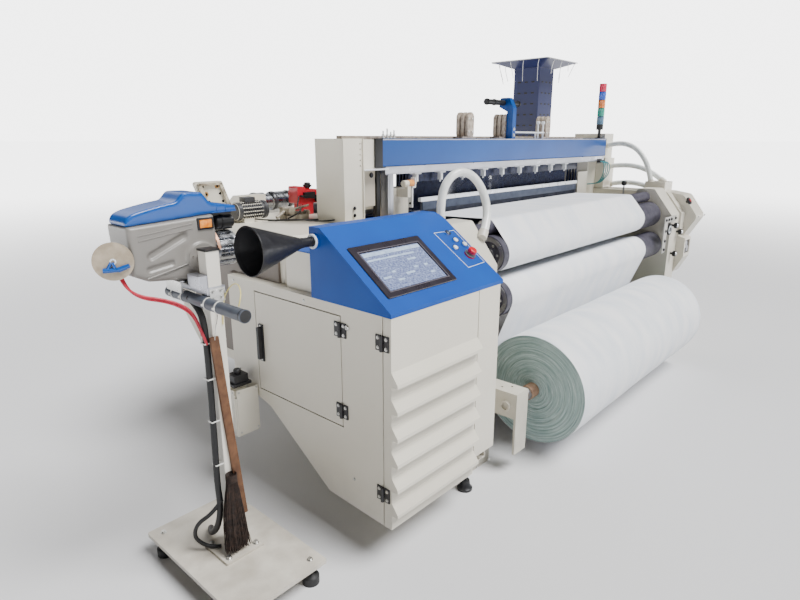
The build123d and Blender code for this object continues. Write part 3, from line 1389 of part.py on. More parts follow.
# X and Z of each clamping knob on the right side frame's front
KNOBS = [(INNER_X + 26, 955), (OUTER_X - 24, 892), (INNER_X + 70, 730)]
KNOB_R = 22
KNOB_STEM_R = 9
with BuildPart() as front_knobs:
    for knob_x, knob_z in KNOBS:
        rod_y(-LEG_Y, -LEG_Y - 25, knob_x, knob_z, KNOB_STEM_R)
        with BuildSketch(facing(-LEG_Y - 20)) as knob_section:
            with Locations((knob_x, knob_z)):
                Circle(KNOB_R)
                with PolarLocations(KNOB_R + 2, 6):
                    Circle(5, mode=Mode.SUBTRACT)
        extrude(knob_section.sketch, amount=22)
front_knobs.part.label = "front_knobs"
export_step(front_knobs.part, "parts/front_knobs.step")

# Weft feeder stand: a plate on rubber feet, a square post, and the feeder on its clamp
PLATE_TOP_Z = STAND_PLATE_Z + STAND_PLATE_T
FOOT_INSET = 45
FOOT_R = 32
with BuildPart() as stand_post:
    block(
        STAND_X - STAND_PLATE_X / 2,
        STAND_X + STAND_PLATE_X / 2,
        STAND_Y - STAND_PLATE_Y / 2,
        STAND_Y + STAND_PLATE_Y / 2,
        STAND_PLATE_Z,
        PLATE_TOP_Z,
        8,
    )
    FLANGE_W = 160
    FLANGE_TOP_Z = PLATE_TOP_Z + 10
    block(
        STAND_X - FLANGE_W / 2,
        STAND_X + FLANGE_W / 2,
        STAND_Y - FLANGE_W / 2,
        STAND_Y + FLANGE_W / 2,
        PLATE_TOP_Z,
        FLANGE_TOP_Z,
        6,
    )
    block(
        STAND_X - STAND_POST_W / 2,
        STAND_X + STAND_POST_W / 2,
        STAND_Y - STAND_POST_W / 2,
        STAND_Y + STAND_POST_W / 2,
        FLANGE_TOP_Z,
        STAND_POST_TOP_Z,
        3,
    )
stand_post.part.label = "stand_post"
export_step(stand_post.part, "parts/stand_post.step")

with BuildPart() as stand_feet:
    for side_x in (-1, 1):
        for side_y in (-1, 1):
            foot_x = STAND_X + side_x * (STAND_PLATE_X / 2 - FOOT_INSET)
            foot_y = STAND_Y + side_y * (STAND_PLATE_Y / 2 - FOOT_INSET)
            rod_z(0, 30, foot_x, foot_y, FOOT_R)
            rod_z(30, STAND_PLATE_Z, foot_x, foot_y, 8)
            rod_z(STAND_PLATE_Z - 12, STAND_PLATE_Z, foot_x, foot_y, 15)
stand_feet.part.label = "stand_feet"
export_step(stand_feet.part, "parts/stand_feet.step")


# Feeder: a cast body under a blue cover with a long arm, and a drum with a ribbed cage
FEEDER_DEPTH = 150
FEEDER_ROUND = 16
FEEDER_LEFT_X = -2745
FEEDER_RIGHT_X = -2445
FEEDER_TOP_Z = FEEDER_Z + 118
FEEDER_BOTTOM_Z = FEEDER_Z - 72
FEEDER_CAP_R = 42
DRUM_R = 64
DRUM_L = 85
DRUM_HUB_R = 30
DRUM_FROM_X = FEEDER_RIGHT_X + 10
DRUM_END_X = DRUM_FROM_X + DRUM_L
COVER_DEPTH = 128
COVER_ARM_H = 22
FOOT_PAD_H = 20
CLAMP_TOP_Z = FEEDER_BOTTOM_Z - FOOT_PAD_H
CLAMP_T = 25
FEEDER_FRONT_Y = FEEDER_Y - FEEDER_DEPTH / 2
with BuildPart() as feeder_body:
    with BuildSketch(facing(FEEDER_Y + FEEDER_DEPTH / 2)) as body_profile:
        with BuildLine():
            Polyline(
                (FEEDER_LEFT_X, FEEDER_TOP_Z),
                (FEEDER_RIGHT_X, FEEDER_TOP_Z + 16),
                (FEEDER_RIGHT_X + 8, FEEDER_Z + 30),
                (FEEDER_RIGHT_X - 18, FEEDER_BOTTOM_Z),
                (FEEDER_RIGHT_X - 60, FEEDER_BOTTOM_Z - 12),
                (FEEDER_LEFT_X + 55, FEEDER_BOTTOM_Z + 8),
                (FEEDER_LEFT_X + 4, FEEDER_BOTTOM_Z + 34),
                close=True,
            )
        make_face()
        fillet(body_profile.vertices().group_by(Axis.Y)[0], FEEDER_ROUND)
    extrude(amount=FEEDER_DEPTH)
    fillet(feeder_body.faces().sort_by(Axis.Y)[0].edges(), FEEDER_ROUND)
    rod_y(FEEDER_FRONT_Y, FEEDER_FRONT_Y - 12, FEEDER_RIGHT_X - 62, FEEDER_Z - 8, 52)
    fillet(feeder_body.faces().sort_by(Axis.Y)[0].edges(), 8)
    with BuildSketch(facing(FEEDER_FRONT_Y)) as swept_recess:
        with Locations((FEEDER_LEFT_X + 125, FEEDER_Z + 45)):
            SlotCenterToCenter(130, 24, rotation=24)
    extrude(swept_recess.sketch, amount=-10, mode=Mode.SUBTRACT)
    with BuildSketch(facing(FEEDER_FRONT_Y)) as low_recess:
        with Locations((FEEDER_LEFT_X + 95, FEEDER_Z - 18)):
            SlotCenterToCenter(80, 18, rotation=8)
    extrude(low_recess.sketch, amount=-8, mode=Mode.SUBTRACT)
    rod_x(FEEDER_LEFT_X - 12, FEEDER_LEFT_X + 10, FEEDER_Y, FEEDER_Z, FEEDER_CAP_R)
    rod_x(FEEDER_RIGHT_X - 20, DRUM_FROM_X, FEEDER_Y, FEEDER_Z, DRUM_HUB_R)
    block(STAND_X - 50, STAND_X, FEEDER_Y - 22, FEEDER_Y + 22, CLAMP_TOP_Z, FEEDER_BOTTOM_Z, 4)
feeder_body.part.label = "feeder_body"
export_step(feeder_body.part, "parts/feeder_body.step")

with BuildPart() as feeder_drum:
    rod_x(DRUM_FROM_X, DRUM_END_X, FEEDER_Y, FEEDER_Z, DRUM_R - 12)
    rod_x(DRUM_FROM_X, DRUM_FROM_X + 10, FEEDER_Y, FEEDER_Z, DRUM_R)
    with BuildSketch(across(DRUM_FROM_X)):
        with Locations((FEEDER_Y, FEEDER_Z)):
            with PolarLocations(DRUM_R - 7, 14):
                Rectangle(14, 11)
    extrude(amount=DRUM_END_X - DRUM_FROM_X)
    rod_x(DRUM_END_X - 10, DRUM_END_X, FEEDER_Y, FEEDER_Z, DRUM_R)
feeder_drum.part.label = "feeder_drum"
export_step(feeder_drum.part, "parts/feeder_drum.step")

HUMP_LEFT_X, HUMP_RIGHT_X = -2572, -2451
HUMP_TOP_Z = FEEDER_TOP_Z + 94
with BuildPart() as feeder_cover:
    with BuildSketch(facing(FEEDER_Y + COVER_DEPTH / 2)):
        with BuildLine():
            Polyline(
                (HUMP_LEFT_X, HUMP_TOP_Z - 28),
                (HUMP_LEFT_X + 26, HUMP_TOP_Z),
                (HUMP_RIGHT_X - 27, HUMP_TOP_Z - 2),
                (HUMP_RIGHT_X, HUMP_TOP_Z - 38),
                (DRUM_END_X, FEEDER_TOP_Z + 16 + COVER_ARM_H),
                (DRUM_END_X, FEEDER_TOP_Z + 16),
                (FEEDER_RIGHT_X, FEEDER_TOP_Z + 16),
                (FEEDER_LEFT_X, FEEDER_TOP_Z),
            )
            Spline(
                (FEEDER_LEFT_X, FEEDER_TOP_Z),
                (FEEDER_LEFT_X + 60, FEEDER_TOP_Z + 48),
                (HUMP_LEFT_X, HUMP_TOP_Z - 28),
                tangents=((-0.1, 1), (1, 0.1)),
            )
        make_face()
    extrude(amount=COVER_DEPTH)
    fillet(feeder_cover.edges().filter_by(Axis.Y).group_by(Axis.Z)[-1], 8)
feeder_cover.part.label = "feeder_cover"
export_step(feeder_cover.part, "parts/feeder_cover.step")

# Stopper: a black housing under the arm whose pin meets the drum
with BuildPart() as feeder_stopper:
    block(
        DRUM_FROM_X + 8,
        DRUM_END_X + 4,
        FEEDER_Y - 26,
        FEEDER_Y + 26,
        FEEDER_Z + DRUM_R + 6,
        FEEDER_TOP_Z + 16,
        8,
    )
    rod_z(FEEDER_Z + DRUM_R, FEEDER_Z + DRUM_R + 6, DRUM_END_X - 20, FEEDER_Y, 4)
feeder_stopper.part.label = "feeder_stopper"
export_step(feeder_stopper.part, "parts/feeder_stopper.step")

with BuildPart() as feeder_clamp:
    block(STAND_X - 34, STAND_X + 34, STAND_Y - 34, FEEDER_Y + 20, CLAMP_TOP_Z - CLAMP_T, CLAMP_TOP_Z, 5)
    block(
        STAND_X - STAND_POST_W / 2,
        STAND_X + STAND_POST_W / 2,
        STAND_Y - STAND_POST_W / 2,
        STAND_Y + STAND_POST_W / 2,
        CLAMP_TOP_Z - CLAMP_T,
        CLAMP_TOP_Z,
        3,
        mode=Mode.SUBTRACT,
    )
    block(
        STAND_X - 60,
        STAND_X - STAND_POST_W / 2 - FACE_GAP,
        STAND_Y - 30,
        STAND_Y + 45,
        CLAMP_TOP_Z,
        CLAMP_TOP_Z + 42,
        6,
    )
feeder_clamp.part.label = "feeder_clamp"
export_step(feeder_clamp.part, "parts/feeder_clamp.step")

# Eyelet disc: a thin plate turned towards the weaver, on a bent arm from the feeder's cap
DISC_R = 60
DISC_T = 3
DISC_PLANE = Plane(origin=(-2790, -262, FEEDER_Z + 17), x_dir=(0.86, -0.5, 0), z_dir=(-0.5, -0.86, 0))
with BuildPart() as eyelet_disc:
    with BuildSketch(DISC_PLANE):
        Circle(DISC_R)
        Circle(7, mode=Mode.SUBTRACT)
    extrude(amount=-DISC_T)
    with BuildSketch(DISC_PLANE.offset(-DISC_T)):
        with Locations((-6, -17)):
            RectangleRounded(24, 22, 8)
    extrude(amount=-34)
    rod_x(-2792, FEEDER_LEFT_X - 12, FEEDER_Y - 14, FEEDER_Z, 12)
eyelet_disc.part.label = "eyelet_disc"
export_step(eyelet_disc.part, "parts/eyelet_disc.step")

TUBE_R = 20
TUBE_Z = CLAMP_TOP_Z - CLAMP_T - TUBE_R - FACE_GAP
TUBE_X = STAND_X - STAND_POST_W / 2 - TUBE_R
with BuildPart() as pvc_tube:
    rod_y(-150, -612, TUBE_X, TUBE_Z, TUBE_R)
    rod_y(-612, -620, TUBE_X, TUBE_Z, TUBE_R + 1.5)
pvc_tube.part.label = "pvc_tube"
export_step(pvc_tube.part, "parts/pvc_tube.step")

# Cleaning brush that hangs on the post
BRUSH_Y = STAND_Y - STAND_POST_W / 2
with BuildPart() as cleaning_brush:
    with BuildSketch(facing(BRUSH_Y)):
        with BuildLine():
            Polyline((-2562, 956), (-2528, 956), (-2470, 240), (-2504, 240), close=True)
        make_face()
    extrude(amount=12)
    with BuildSketch(facing(BRUSH_Y)):
        with BuildLine():
            Polyline(
                (-2556, 420),
                (-2520, 430),
                (-2504.5, 240),
                (-2500, 180),
                (-2545, 118),
                (-2572, 250),
                close=True,
            )
        make_face()
    extrude(amount=40)
cleaning_brush.part.label = "cleaning_brush"
export_step(cleaning_brush.part, "parts/cleaning_brush.step")



with BuildPart() as arch_hose:
    hose(ARCH_ROUTE, HOSE_D)
arch_hose.part.label = "arch_hose"
export_step(arch_hose.part, "parts/arch_hose.step")

with BuildPart() as air_hose_top:
    hose(TOP_ROUTE, HOSE_D)
air_hose_top.part.label = "air_hose_top"
export_step(air_hose_top.part, "parts/air_hose_top.step")

with BuildPart() as air_hose_middle:
    hose(MIDDLE_ROUTE, HOSE_D)
air_hose_middle.part.label = "air_hose_middle"
export_step(air_hose_middle.part, "parts/air_hose_middle.step")

with BuildPart() as air_hose_low:
    hose(LOW_ROUTE, HOSE_D)
air_hose_low.part.label = "air_hose_low"
export_step(air_hose_low.part, "parts/air_hose_low.step")
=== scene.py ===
import math
import random

import bmesh
import bpy
from mathutils import Matrix, Vector


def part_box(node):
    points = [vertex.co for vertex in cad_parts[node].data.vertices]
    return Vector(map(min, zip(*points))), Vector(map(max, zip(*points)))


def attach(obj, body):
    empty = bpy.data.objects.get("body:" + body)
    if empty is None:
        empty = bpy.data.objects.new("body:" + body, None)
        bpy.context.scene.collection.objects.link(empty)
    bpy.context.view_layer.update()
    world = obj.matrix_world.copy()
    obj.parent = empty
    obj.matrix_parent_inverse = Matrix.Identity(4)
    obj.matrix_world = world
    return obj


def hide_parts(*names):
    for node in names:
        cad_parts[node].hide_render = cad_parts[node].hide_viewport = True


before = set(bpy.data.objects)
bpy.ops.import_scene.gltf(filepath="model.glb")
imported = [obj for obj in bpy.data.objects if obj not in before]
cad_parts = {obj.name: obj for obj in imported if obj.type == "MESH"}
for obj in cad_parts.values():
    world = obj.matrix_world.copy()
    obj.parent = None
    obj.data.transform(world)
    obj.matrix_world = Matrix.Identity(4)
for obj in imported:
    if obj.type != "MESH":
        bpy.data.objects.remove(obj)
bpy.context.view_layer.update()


def placed(name, data):
    """A new object in the scene that shows this data."""
    made = bpy.data.objects.new(name, data)
    bpy.context.scene.collection.objects.link(made)
    return made


def node(tree, kind, **values):
    """A new node in a tree, with values on the inputs of these names."""
    made = tree.nodes.new(kind)
    for name, value in values.items():
        made.inputs[name.replace("_", " ")].default_value = value
    return made


def link(source, output, target, socket):
    """Links a node's output to the input of another node of its tree."""
    source.id_data.links.new(source.outputs[output], target.inputs[socket])


def shader_of(material):
    """The main shader of a material."""
    return material.node_tree.nodes["Principled BSDF"]


def new_recipe(name, sockets, output):
    """An empty recipe of geometry nodes with these inputs and one output, and its two end nodes."""
    recipe = bpy.data.node_groups.new(name, "GeometryNodeTree")
    for title, kind in sockets:
        recipe.interface.new_socket(title, in_out="INPUT", socket_type="NodeSocket" + kind)
    recipe.interface.new_socket(output, in_out="OUTPUT", socket_type="NodeSocketGeometry")
    return recipe, recipe.nodes.new("NodeGroupInput"), recipe.nodes.new("NodeGroupOutput")



# Studio: a pale floor under the machine, an even white surround and three soft suns.
# The camera stands at eye level, left of the control cabinet, as in the photograph.
floor_mesh = bpy.data.meshes.new("floor")
floor_mesh.from_pydata([(-400, -400, 0), (400, -400, 0), (400, 400, 0), (-400, 400, 0)], [], [(0, 1, 2, 3)])
floor = placed("floor", floor_mesh)
floor_paint = bpy.data.materials.new("floor_paint")
floor_paint.use_nodes = True
floor_shader = shader_of(floor_paint)
floor_shader.inputs["Base Color"].default_value = (0.70, 0.70, 0.71, 1)
floor_shader.inputs["Roughness"].default_value = 0.75
floor_place = node(floor_paint.node_tree, "ShaderNodeTexCoord")
floor_distance = node(floor_paint.node_tree, "ShaderNodeVectorMath")
floor_distance.operation = "LENGTH"
floor_glow = node(floor_paint.node_tree, "ShaderNodeMapRange")
floor_glow.interpolation_type = "SMOOTHSTEP"
for socket, amount in (("From Min", 3.5), ("From Max", 18.0), ("To Min", 0.0), ("To Max", 3.2)):
    floor_glow.inputs[socket].default_value = amount
link(floor_place, "Object", floor_distance, 0)
link(floor_distance, "Value", floor_glow, "Value")
floor_shader.inputs["Emission Color"].default_value = (1, 1, 1, 1)
link(floor_glow, "Result", floor_shader, "Emission Strength")
floor_mesh.materials.append(floor_paint)

surround = bpy.data.worlds.new("surround")
surround.use_nodes = True
sky = surround.node_tree.nodes["Background"]
sky.inputs["Color"].default_value = (1.0, 1.0, 1.0, 1)
sky.inputs["Strength"].default_value = 0.07
backdrop = node(surround.node_tree, "ShaderNodeBackground", Strength=6.0)
direct_view = node(surround.node_tree, "ShaderNodeLightPath")
which_sky = node(surround.node_tree, "ShaderNodeMixShader")
link(direct_view, "Is Camera Ray", which_sky, "Fac")
link(sky, 0, which_sky, 1)
link(backdrop, 0, which_sky, 2)
link(which_sky, 0, surround.node_tree.nodes["World Output"], "Surface")
bpy.context.scene.world = surround

# Direction that the light comes from, softness in degrees and strength of each lamp
LAMPS = {
    "key_lamp": ((0.24, -0.60, 1.0), 30, 6.0),
    "fill_lamp": ((-0.9, -0.75, 0.55), 50, 0.05),
    "rear_lamp": ((0.3, 0.9, 0.8), 50, 0.8),
}
for lamp_name, (toward, softness, power) in LAMPS.items():
    lamp_data = bpy.data.lights.new(lamp_name, "SUN")
    lamp_data.angle = math.radians(softness)
    lamp_data.energy = power
    lamp = bpy.data.objects.new(lamp_name, lamp_data)
    lamp.location = Vector(toward) * 5
    lamp.rotation_euler = (-Vector(toward)).to_track_quat("-Z", "Y").to_euler()
    bpy.context.scene.collection.objects.link(lamp)

camera_data = bpy.data.cameras.new("camera")
camera_data.lens = 26.2
camera_data.sensor_width = 36
camera = bpy.data.objects.new("camera", camera_data)
camera.location = (-3.5, -2.1, 1.60)
camera.rotation_euler = (math.radians(74.5), 0, math.radians(-47.8))
bpy.context.scene.collection.objects.link(camera)
bpy.context.scene.camera = camera

# Air hoses: clear ribbed plastic hose, 40 mm, pushed on to stubs at both ends. One arches over
# the head of the left side frame, and three come forward from the air box at the right end.
HOSE_DIAMETER = 0.040
HOSE_ROUTES = {
    "arch_hose": [
        (-1.335, -0.395, 1.250), (-1.334, -0.395, 1.335), (-1.303, -0.403, 1.410),
        (-1.240, -0.418, 1.452), (-1.167, -0.440, 1.440), (-1.118, -0.470, 1.378),
        (-1.112, -0.502, 1.296), (-1.146, -0.530, 1.222), (-1.198, -0.549, 1.176),
    ],
    "air_hose_top": [
        (1.470, 0.018, 1.547), (1.470, -0.052, 1.562), (1.470, -0.140, 1.556), (1.470, -0.224, 1.518),
        (1.470, -0.290, 1.446), (1.470, -0.336, 1.356), (1.470, -0.359, 1.274),
    ],
    "air_hose_middle": [
        (1.522, -0.002, 1.374), (1.522, -0.082, 1.383), (1.522, -0.178, 1.382), (1.522, -0.276, 1.362),
        (1.522, -0.368, 1.318), (1.522, -0.421, 1.281),
    ],
    "air_hose_low": [
        (1.574, -0.002, 1.224), (1.574, -0.078, 1.236), (1.574, -0.166, 1.238), (1.574, -0.252, 1.228),
        (1.574, -0.316, 1.211),
    ],
}


def finish(name, colour, roughness, metallic=0.0):
    """A material with its even values on the shader's own sockets."""
    material = bpy.data.materials.new(name)
    material.use_nodes = True
    shader = shader_of(material)
    shader.inputs["Base Color"].default_value = (*colour, 1)
    shader.inputs["Roughness"].default_value = roughness
    shader.inputs["Metallic"].default_value = metallic
    return material


def cloudy(material, socket, low, high, size, detail=4.0):
    """Noise on Object coordinates that moves one socket of the shader between two values."""
    tree = material.node_tree
    place = node(tree, "ShaderNodeTexCoord")
    noise = node(tree, "ShaderNodeTexNoise", Scale=1 / size, Detail=detail)
    link(place, "Object", noise, "Vector")
    ramp = node(tree, "ShaderNodeValToRGB")
    ramp.color_ramp.elements[0].position = 0.32
    ramp.color_ramp.elements[1].position = 0.68
    ramp.color_ramp.elements[0].color = (*low, 1) if isinstance(low, tuple) else (low, low, low, 1)
    ramp.color_ramp.elements[1].color = (*high, 1) if isinstance(high, tuple) else (high, high, high, 1)
    link(noise, "Fac", ramp, "Fac")
    link(ramp, "Color", tree.nodes["Principled BSDF"], socket)
    return ramp


def mottled(name, colour, low, high, roughness, size, metallic=0.0, detail=4.0):
    """A material whose base colour drifts between two values in soft patches."""
    material = finish(name, colour, roughness, metallic)
    cloudy(material, "Base Color", low, high, size, detail)
    return material


def grain(material, size, depth, stretch=(1, 1, 1), detail=3.0):
    """A fine bump of noise, drawn out along an axis where the stretch is under one."""
    tree = material.node_tree
    place = node(tree, "ShaderNodeTexCoord")
    mapping = node(tree, "ShaderNodeMapping", Scale=stretch)
    noise = node(tree, "ShaderNodeTexNoise", Scale=1 / size, Detail=detail)
    bump = node(tree, "ShaderNodeBump", Strength=0.6, Distance=depth)
    link(place, "Object", mapping, "Vector")
    link(mapping, "Vector", noise, "Vector")
    link(noise, "Fac", bump, "Height")
    link(bump, "Normal", tree.nodes["Principled BSDF"], "Normal")
    return bump


hose_plastic = mottled(
    "hose_plastic", (0.80, 0.82, 0.80), (0.74, 0.77, 0.75), (0.90, 0.91, 0.88), 0.32, 0.05
)
hose_shader = shader_of(hose_plastic)
hose_shader.inputs["Coat Weight"].default_value = 0.5
hose_shader.inputs["Subsurface Weight"].default_value = 0.15
hose_shader.inputs["Subsurface Radius"].default_value = (0.02, 0.02, 0.02)

for hose_name, hose_route in HOSE_ROUTES.items():
    hose_curve = bpy.data.curves.new(hose_name + "_tube", "CURVE")
    hose_curve.dimensions = "3D"
    spline = hose_curve.splines.new("NURBS")
    spline.points.add(len(hose_route) - 1)
    for point, place in zip(spline.points, hose_route):
        point.co = (*place, 1)
    spline.order_u = 3
    spline.use_endpoint_u = True
    spline.resolution_u = 12
    hose_curve.bevel_depth = HOSE_DIAMETER / 2
    hose_curve.bevel_resolution = 6
    hose_curve.use_fill_caps = True
    hose_curve.materials.append(hose_plastic)
    tube = placed(hose_name + "_tube", hose_curve)
    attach(tube, "root")
    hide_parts(hose_name)


def dress(material, *nodes):
    """Gives CAD nodes a worked finish in place of their plain one."""
    for node in nodes:
        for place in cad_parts[node].material_slots:
            place.material = material


def shaped(name, bm, material, body="root", smooth=40):
    """Turns a worked mesh into a finished piece that rides on a body."""
    bmesh.ops.recalc_face_normals(bm, faces=bm.faces)
    mesh = bpy.data.meshes.new(name)
    bm.to_mesh(mesh)
    bm.free()
    mesh.materials.append(material)
    mesh.polygons.foreach_set("use_smooth", [smooth > 0] * len(mesh.polygons))
    if smooth:
        mesh.set_sharp_from_angle(angle=math.radians(smooth))
    made = placed(name, mesh)
    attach(made, body)
    return made


def bar(bm, start, end, radius, sides=20, end_radius=None):
    """A round bar or cone between two points."""
    start, end = Vector(start), Vector(end)
    turn = (end - start).to_track_quat("Z", "Y").to_matrix().to_4x4()
    bmesh.ops.create_cone(
        bm,
        cap_ends=True,
        segments=sides,
        radius1=radius,
        radius2=radius if end_radius is None else end_radius,
        depth=(end - start).length,
        matrix=Matrix.Translation((start + end) / 2) @ turn,
    )


def slab(bm, low, high, edge=0.0, turn=None):
    """A block between two corners with its edges rounded over."""
    low, high = Vector(low), Vector(high)
    box = bmesh.new()
    size = high - low
    bmesh.ops.create_cube(box, size=1, matrix=Matrix.Diagonal((*size, 1)))
    if edge:
        bmesh.ops.bevel(box, geom=box.edges[:], offset=edge, segments=2, profile=0.7, affect="EDGES")
    box.transform(Matrix.Translation((low + high) / 2) @ (turn.to_4x4() if turn else Matrix()))
    add_mesh(bm, box)


def add_mesh(bm, other):
    """Joins a worked mesh to another one and frees it."""
    carrier = bpy.data.meshes.new("carrier")
    other.to_mesh(carrier)
    other.free()
    bm.from_mesh(carrier)
    bpy.data.meshes.remove(carrier)


def turned(bm, profile, centre, axis, sides=32):
    """A turned shape: distances along the axis with a radius at each, closed where the radius is 0."""
    along = Vector(axis).normalized()
    turn = along.to_track_quat("Z", "Y").to_matrix()
    rings = []
    for distance, radius in profile:
        middle = Vector(centre) + along * distance
        if radius == 0:
            rings.append([bm.verts.new(middle)])
            continue
        rings.append(
            [
                bm.verts.new(middle + turn @ Vector((radius * math.cos(a), radius * math.sin(a), 0)))
                for a in (2 * math.pi * side / sides for side in range(sides))
            ]
        )
    for ring, after in zip(rings, rings[1:]):
        for side in range(sides):
            beside = (side + 1) % sides
            if len(ring) == 1 and len(after) == 1:
                continue
            if len(ring) == 1:
                bm.faces.new((ring[0], after[side], after[beside]))
            elif len(after) == 1:
                bm.faces.new((ring[side], ring[beside], after[0]))
            else:
                bm.faces.new((ring[side], ring[beside], after[beside], after[side]))


def piece(name, material, *parts, body="root", smooth=40):
    """A finished piece from its parts, each one a maker (slab, bar or turned) with what it takes."""
    bm = bmesh.new()
    for maker, *values in parts:
        maker(bm, *values)
    return shaped(name, bm, material, body, smooth)


def wire(name, points, radius, material, body="root", sides=8):
    """A wire or strap bent smoothly along its points and fixed to the machine all the way."""
    curve = bpy.data.curves.new(name, "CURVE")
    curve.dimensions = "3D"
    line = curve.splines.new("NURBS")
    line.points.add(len(points) - 1)
    for point, place in zip(line.points, points):
        point.co = (*place, 1)
    line.order_u = 3
    line.use_endpoint_u = True
    line.resolution_u = 6
    curve.bevel_depth = radius
    curve.bevel_resolution = max(1, sides // 4)
    curve.use_fill_caps = True
    carrier = bpy.data.objects.new(name + "_line", curve)
    mesh = bpy.data.meshes.new_from_object(carrier)
    mesh.name = name
    bpy.data.objects.remove(carrier)
    mesh.materials.clear()
    mesh.materials.append(material)
    mesh.polygons.foreach_set("use_smooth", [True] * len(mesh.polygons))
    made = placed(name, mesh)
    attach(made, body)
    return made


# Side frames, cross beams and roll arms: grey iron castings, filled and sprayed with semi-gloss
# cream enamel. The casting skin shows through as a slight roughness, darker near the floor.
CREAM = (0.80, 0.755, 0.64)


def enamel(name, colour, shade, roughness, orange_peel):
    """Sprayed enamel with soft cloudy shading and a faint orange peel under a thin gloss."""
    paint = finish(name, colour, roughness)
    cloudy(paint, "Base Color", shade, colour, 0.35, 6.0)
    grain(paint, 0.004, orange_peel)
    shader_of(paint).inputs["Coat Weight"].default_value = 0.25
    shader_of(paint).inputs["Coat Roughness"].default_value = 0.2
    return paint


def darkened_near_floor(paint, low_colour, from_z, to_z, most):
    """Darkens a finish towards the floor, in an uneven band."""
    tree = paint.node_tree
    socket = tree.nodes["Principled BSDF"].inputs["Base Color"]
    plain_colour = socket.links[0].from_socket
    place = node(tree, "ShaderNodeTexCoord")
    split = node(tree, "ShaderNodeSeparateXYZ")
    fade = node(tree, "ShaderNodeMapRange", From_Min=from_z, From_Max=to_z, To_Min=most, To_Max=0)
    patches = node(tree, "ShaderNodeTexNoise", Scale=14, Detail=8)
    share = node(tree, "ShaderNodeMath")
    share.operation = "MULTIPLY"
    mix = node(tree, "ShaderNodeMixRGB", Color2=(*low_colour, 1))
    link(place, "Object", split, "Vector")
    link(place, "Object", patches, "Vector")
    link(split, "Z", fade, "Value")
    link(fade, "Result", share, 0)
    link(patches, "Fac", share, 1)
    link(share, "Value", mix, "Fac")
    tree.links.new(plain_colour, mix.inputs["Color1"])
    tree.links.new(mix.outputs["Color"], socket)


cast_enamel = enamel("cast_enamel", (0.74, 0.70, 0.60), (0.62, 0.585, 0.50), 0.45, 0.0006)
darkened_near_floor(cast_enamel, (0.22, 0.20, 0.17), 0.0, 0.5, 0.9)
dress(cast_enamel, "left_side_frame", "right_side_frame", "cross_beams", "left_roll_arm", "right_roll_arm")

# Drive housing: a folded and cast shell on the left side frame, sprayed cream like the posts, with the
# finned motor on top.
cream_enamel = enamel("cream_enamel", CREAM, (0.72, 0.68, 0.57), 0.38, 0.0002)
# Dark taupe: a grey-brown casting colour deepened with painted shade, for the shadowed end of the housing
taupe_and_painted_shade = enamel("taupe_and_painted_shade", (0.18, 0.145, 0.115), (0.13, 0.105, 0.083), 0.5, 0.0006)
motor_black = enamel("motor_black", (0.045, 0.045, 0.05), (0.025, 0.025, 0.03), 0.4, 0.0004)
dress(cream_enamel, "drive_housing", "right_post", "left_post")
housing_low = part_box("drive_housing")[0]
MOTOR_FROM = Vector((-1.905, 0.450, 1.250))

# Dark taupe end shell on the drive housing's left end, rounded over at the top. Its colour is the casting's
# grey-brown deepened with painted shade, for the housing's end lying in shadow.
end_shell = bmesh.new()
shell_x = housing_low.x + 0.020
slab(end_shell, (shell_x - 0.012, -0.10, 0.60), (shell_x + 0.002, 0.62, 1.13), 0.012)
turned(
    end_shell,
    [(-0.026, 0), (-0.026, 0.055), (-0.012, 0.062), (-0.010, 0.062)],
    (shell_x, 0.24, 0.95), (1, 0, 0),
)
shaped("drive_end_shade_shell", end_shell, taupe_and_painted_shade)

motor = bmesh.new()
for fin_ring in range(9):
    fin_x = MOTOR_FROM.x + 0.030 + 0.0125 * fin_ring
    turned(
        motor,
        [(0, 0.0425), (0, 0.0492), (0.004, 0.0492), (0.004, 0.0425)],
        (fin_x, 0.450, 1.250), (1, 0, 0), 40,
    )
turned(
    motor,
    [(-0.004, 0), (-0.004, 0.036), (0.004, 0.0445), (0.026, 0.0445), (0.026, 0.0425), (0.155, 0.0425)]
    + [(0.155, 0.046), (0.172, 0.046), (0.178, 0.036), (0.178, 0)],
    MOTOR_FROM, (1, 0, 0), 40,
)
slab(motor, (-1.86, 0.424, 1.293), (-1.80, 0.476, 1.318), 0.004)
shaped("motor_shell", motor, motor_black)

# Let-off head: a small red casting with a black clamping knob and a beige disc.
signal_red = enamel("signal_red", (0.60, 0.012, 0.03), (0.42, 0.01, 0.02), 0.32, 0.0002)
dress(signal_red, "let_off_head")
moulded_black = finish("moulded_black", (0.009, 0.009, 0.010), 0.42)
grain(moulded_black, 0.0012, 0.0001)
disc_beige = mottled("disc_beige", (0.42, 0.34, 0.25), (0.34, 0.27, 0.19), (0.50, 0.42, 0.31), 0.42, 0.03)
head_low, head_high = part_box("let_off_head")
knob = bmesh.new()
turned(
    knob,
    [(0, 0.0135), (0.004, 0.018), (0.026, 0.018), (0.031, 0.013), (0.031, 0)],
    (-1.412, 0.490, head_high.z - 0.030), (0, 0, 1), 24,
)
for spoke in range(4):
    angle = math.pi / 2 * spoke + 0.3
    spoke_end = Vector(
        (-1.412 + 0.026 * math.cos(angle), 0.490 + 0.026 * math.sin(angle), head_high.z - 0.016)
    )
    bar(knob, (-1.412, 0.490, head_high.z - 0.016), spoke_end, 0.006, 10)
shaped("let_off_knob", knob, moulded_black)
piece(
    "let_off_disc", disc_beige,
    (
        turned,
        [
            (0, 0), (0, 0.040), (0.002, 0.044), (0.002, 0.0585), (0.006, 0.0585), (0.020, 0.0585),
            (0.0205, 0.030),
        ],
        (head_high.x - 0.0300, head_low.y - 0.0015, 1.269),
        (0, 1, 0), 48,
    ),
)
piece(
    "let_off_workings", moulded_black,
    (slab, (-1.475, 0.434, 1.285), (-1.400, 0.452, 1.318), 0.004),
    (slab, (-1.395, 0.428, 1.262), (-1.365, 0.452, 1.300), 0.004),
    (bar, (-1.50, 0.440, 1.300), (-1.34, 0.440, 1.276), 0.006, 12),
)

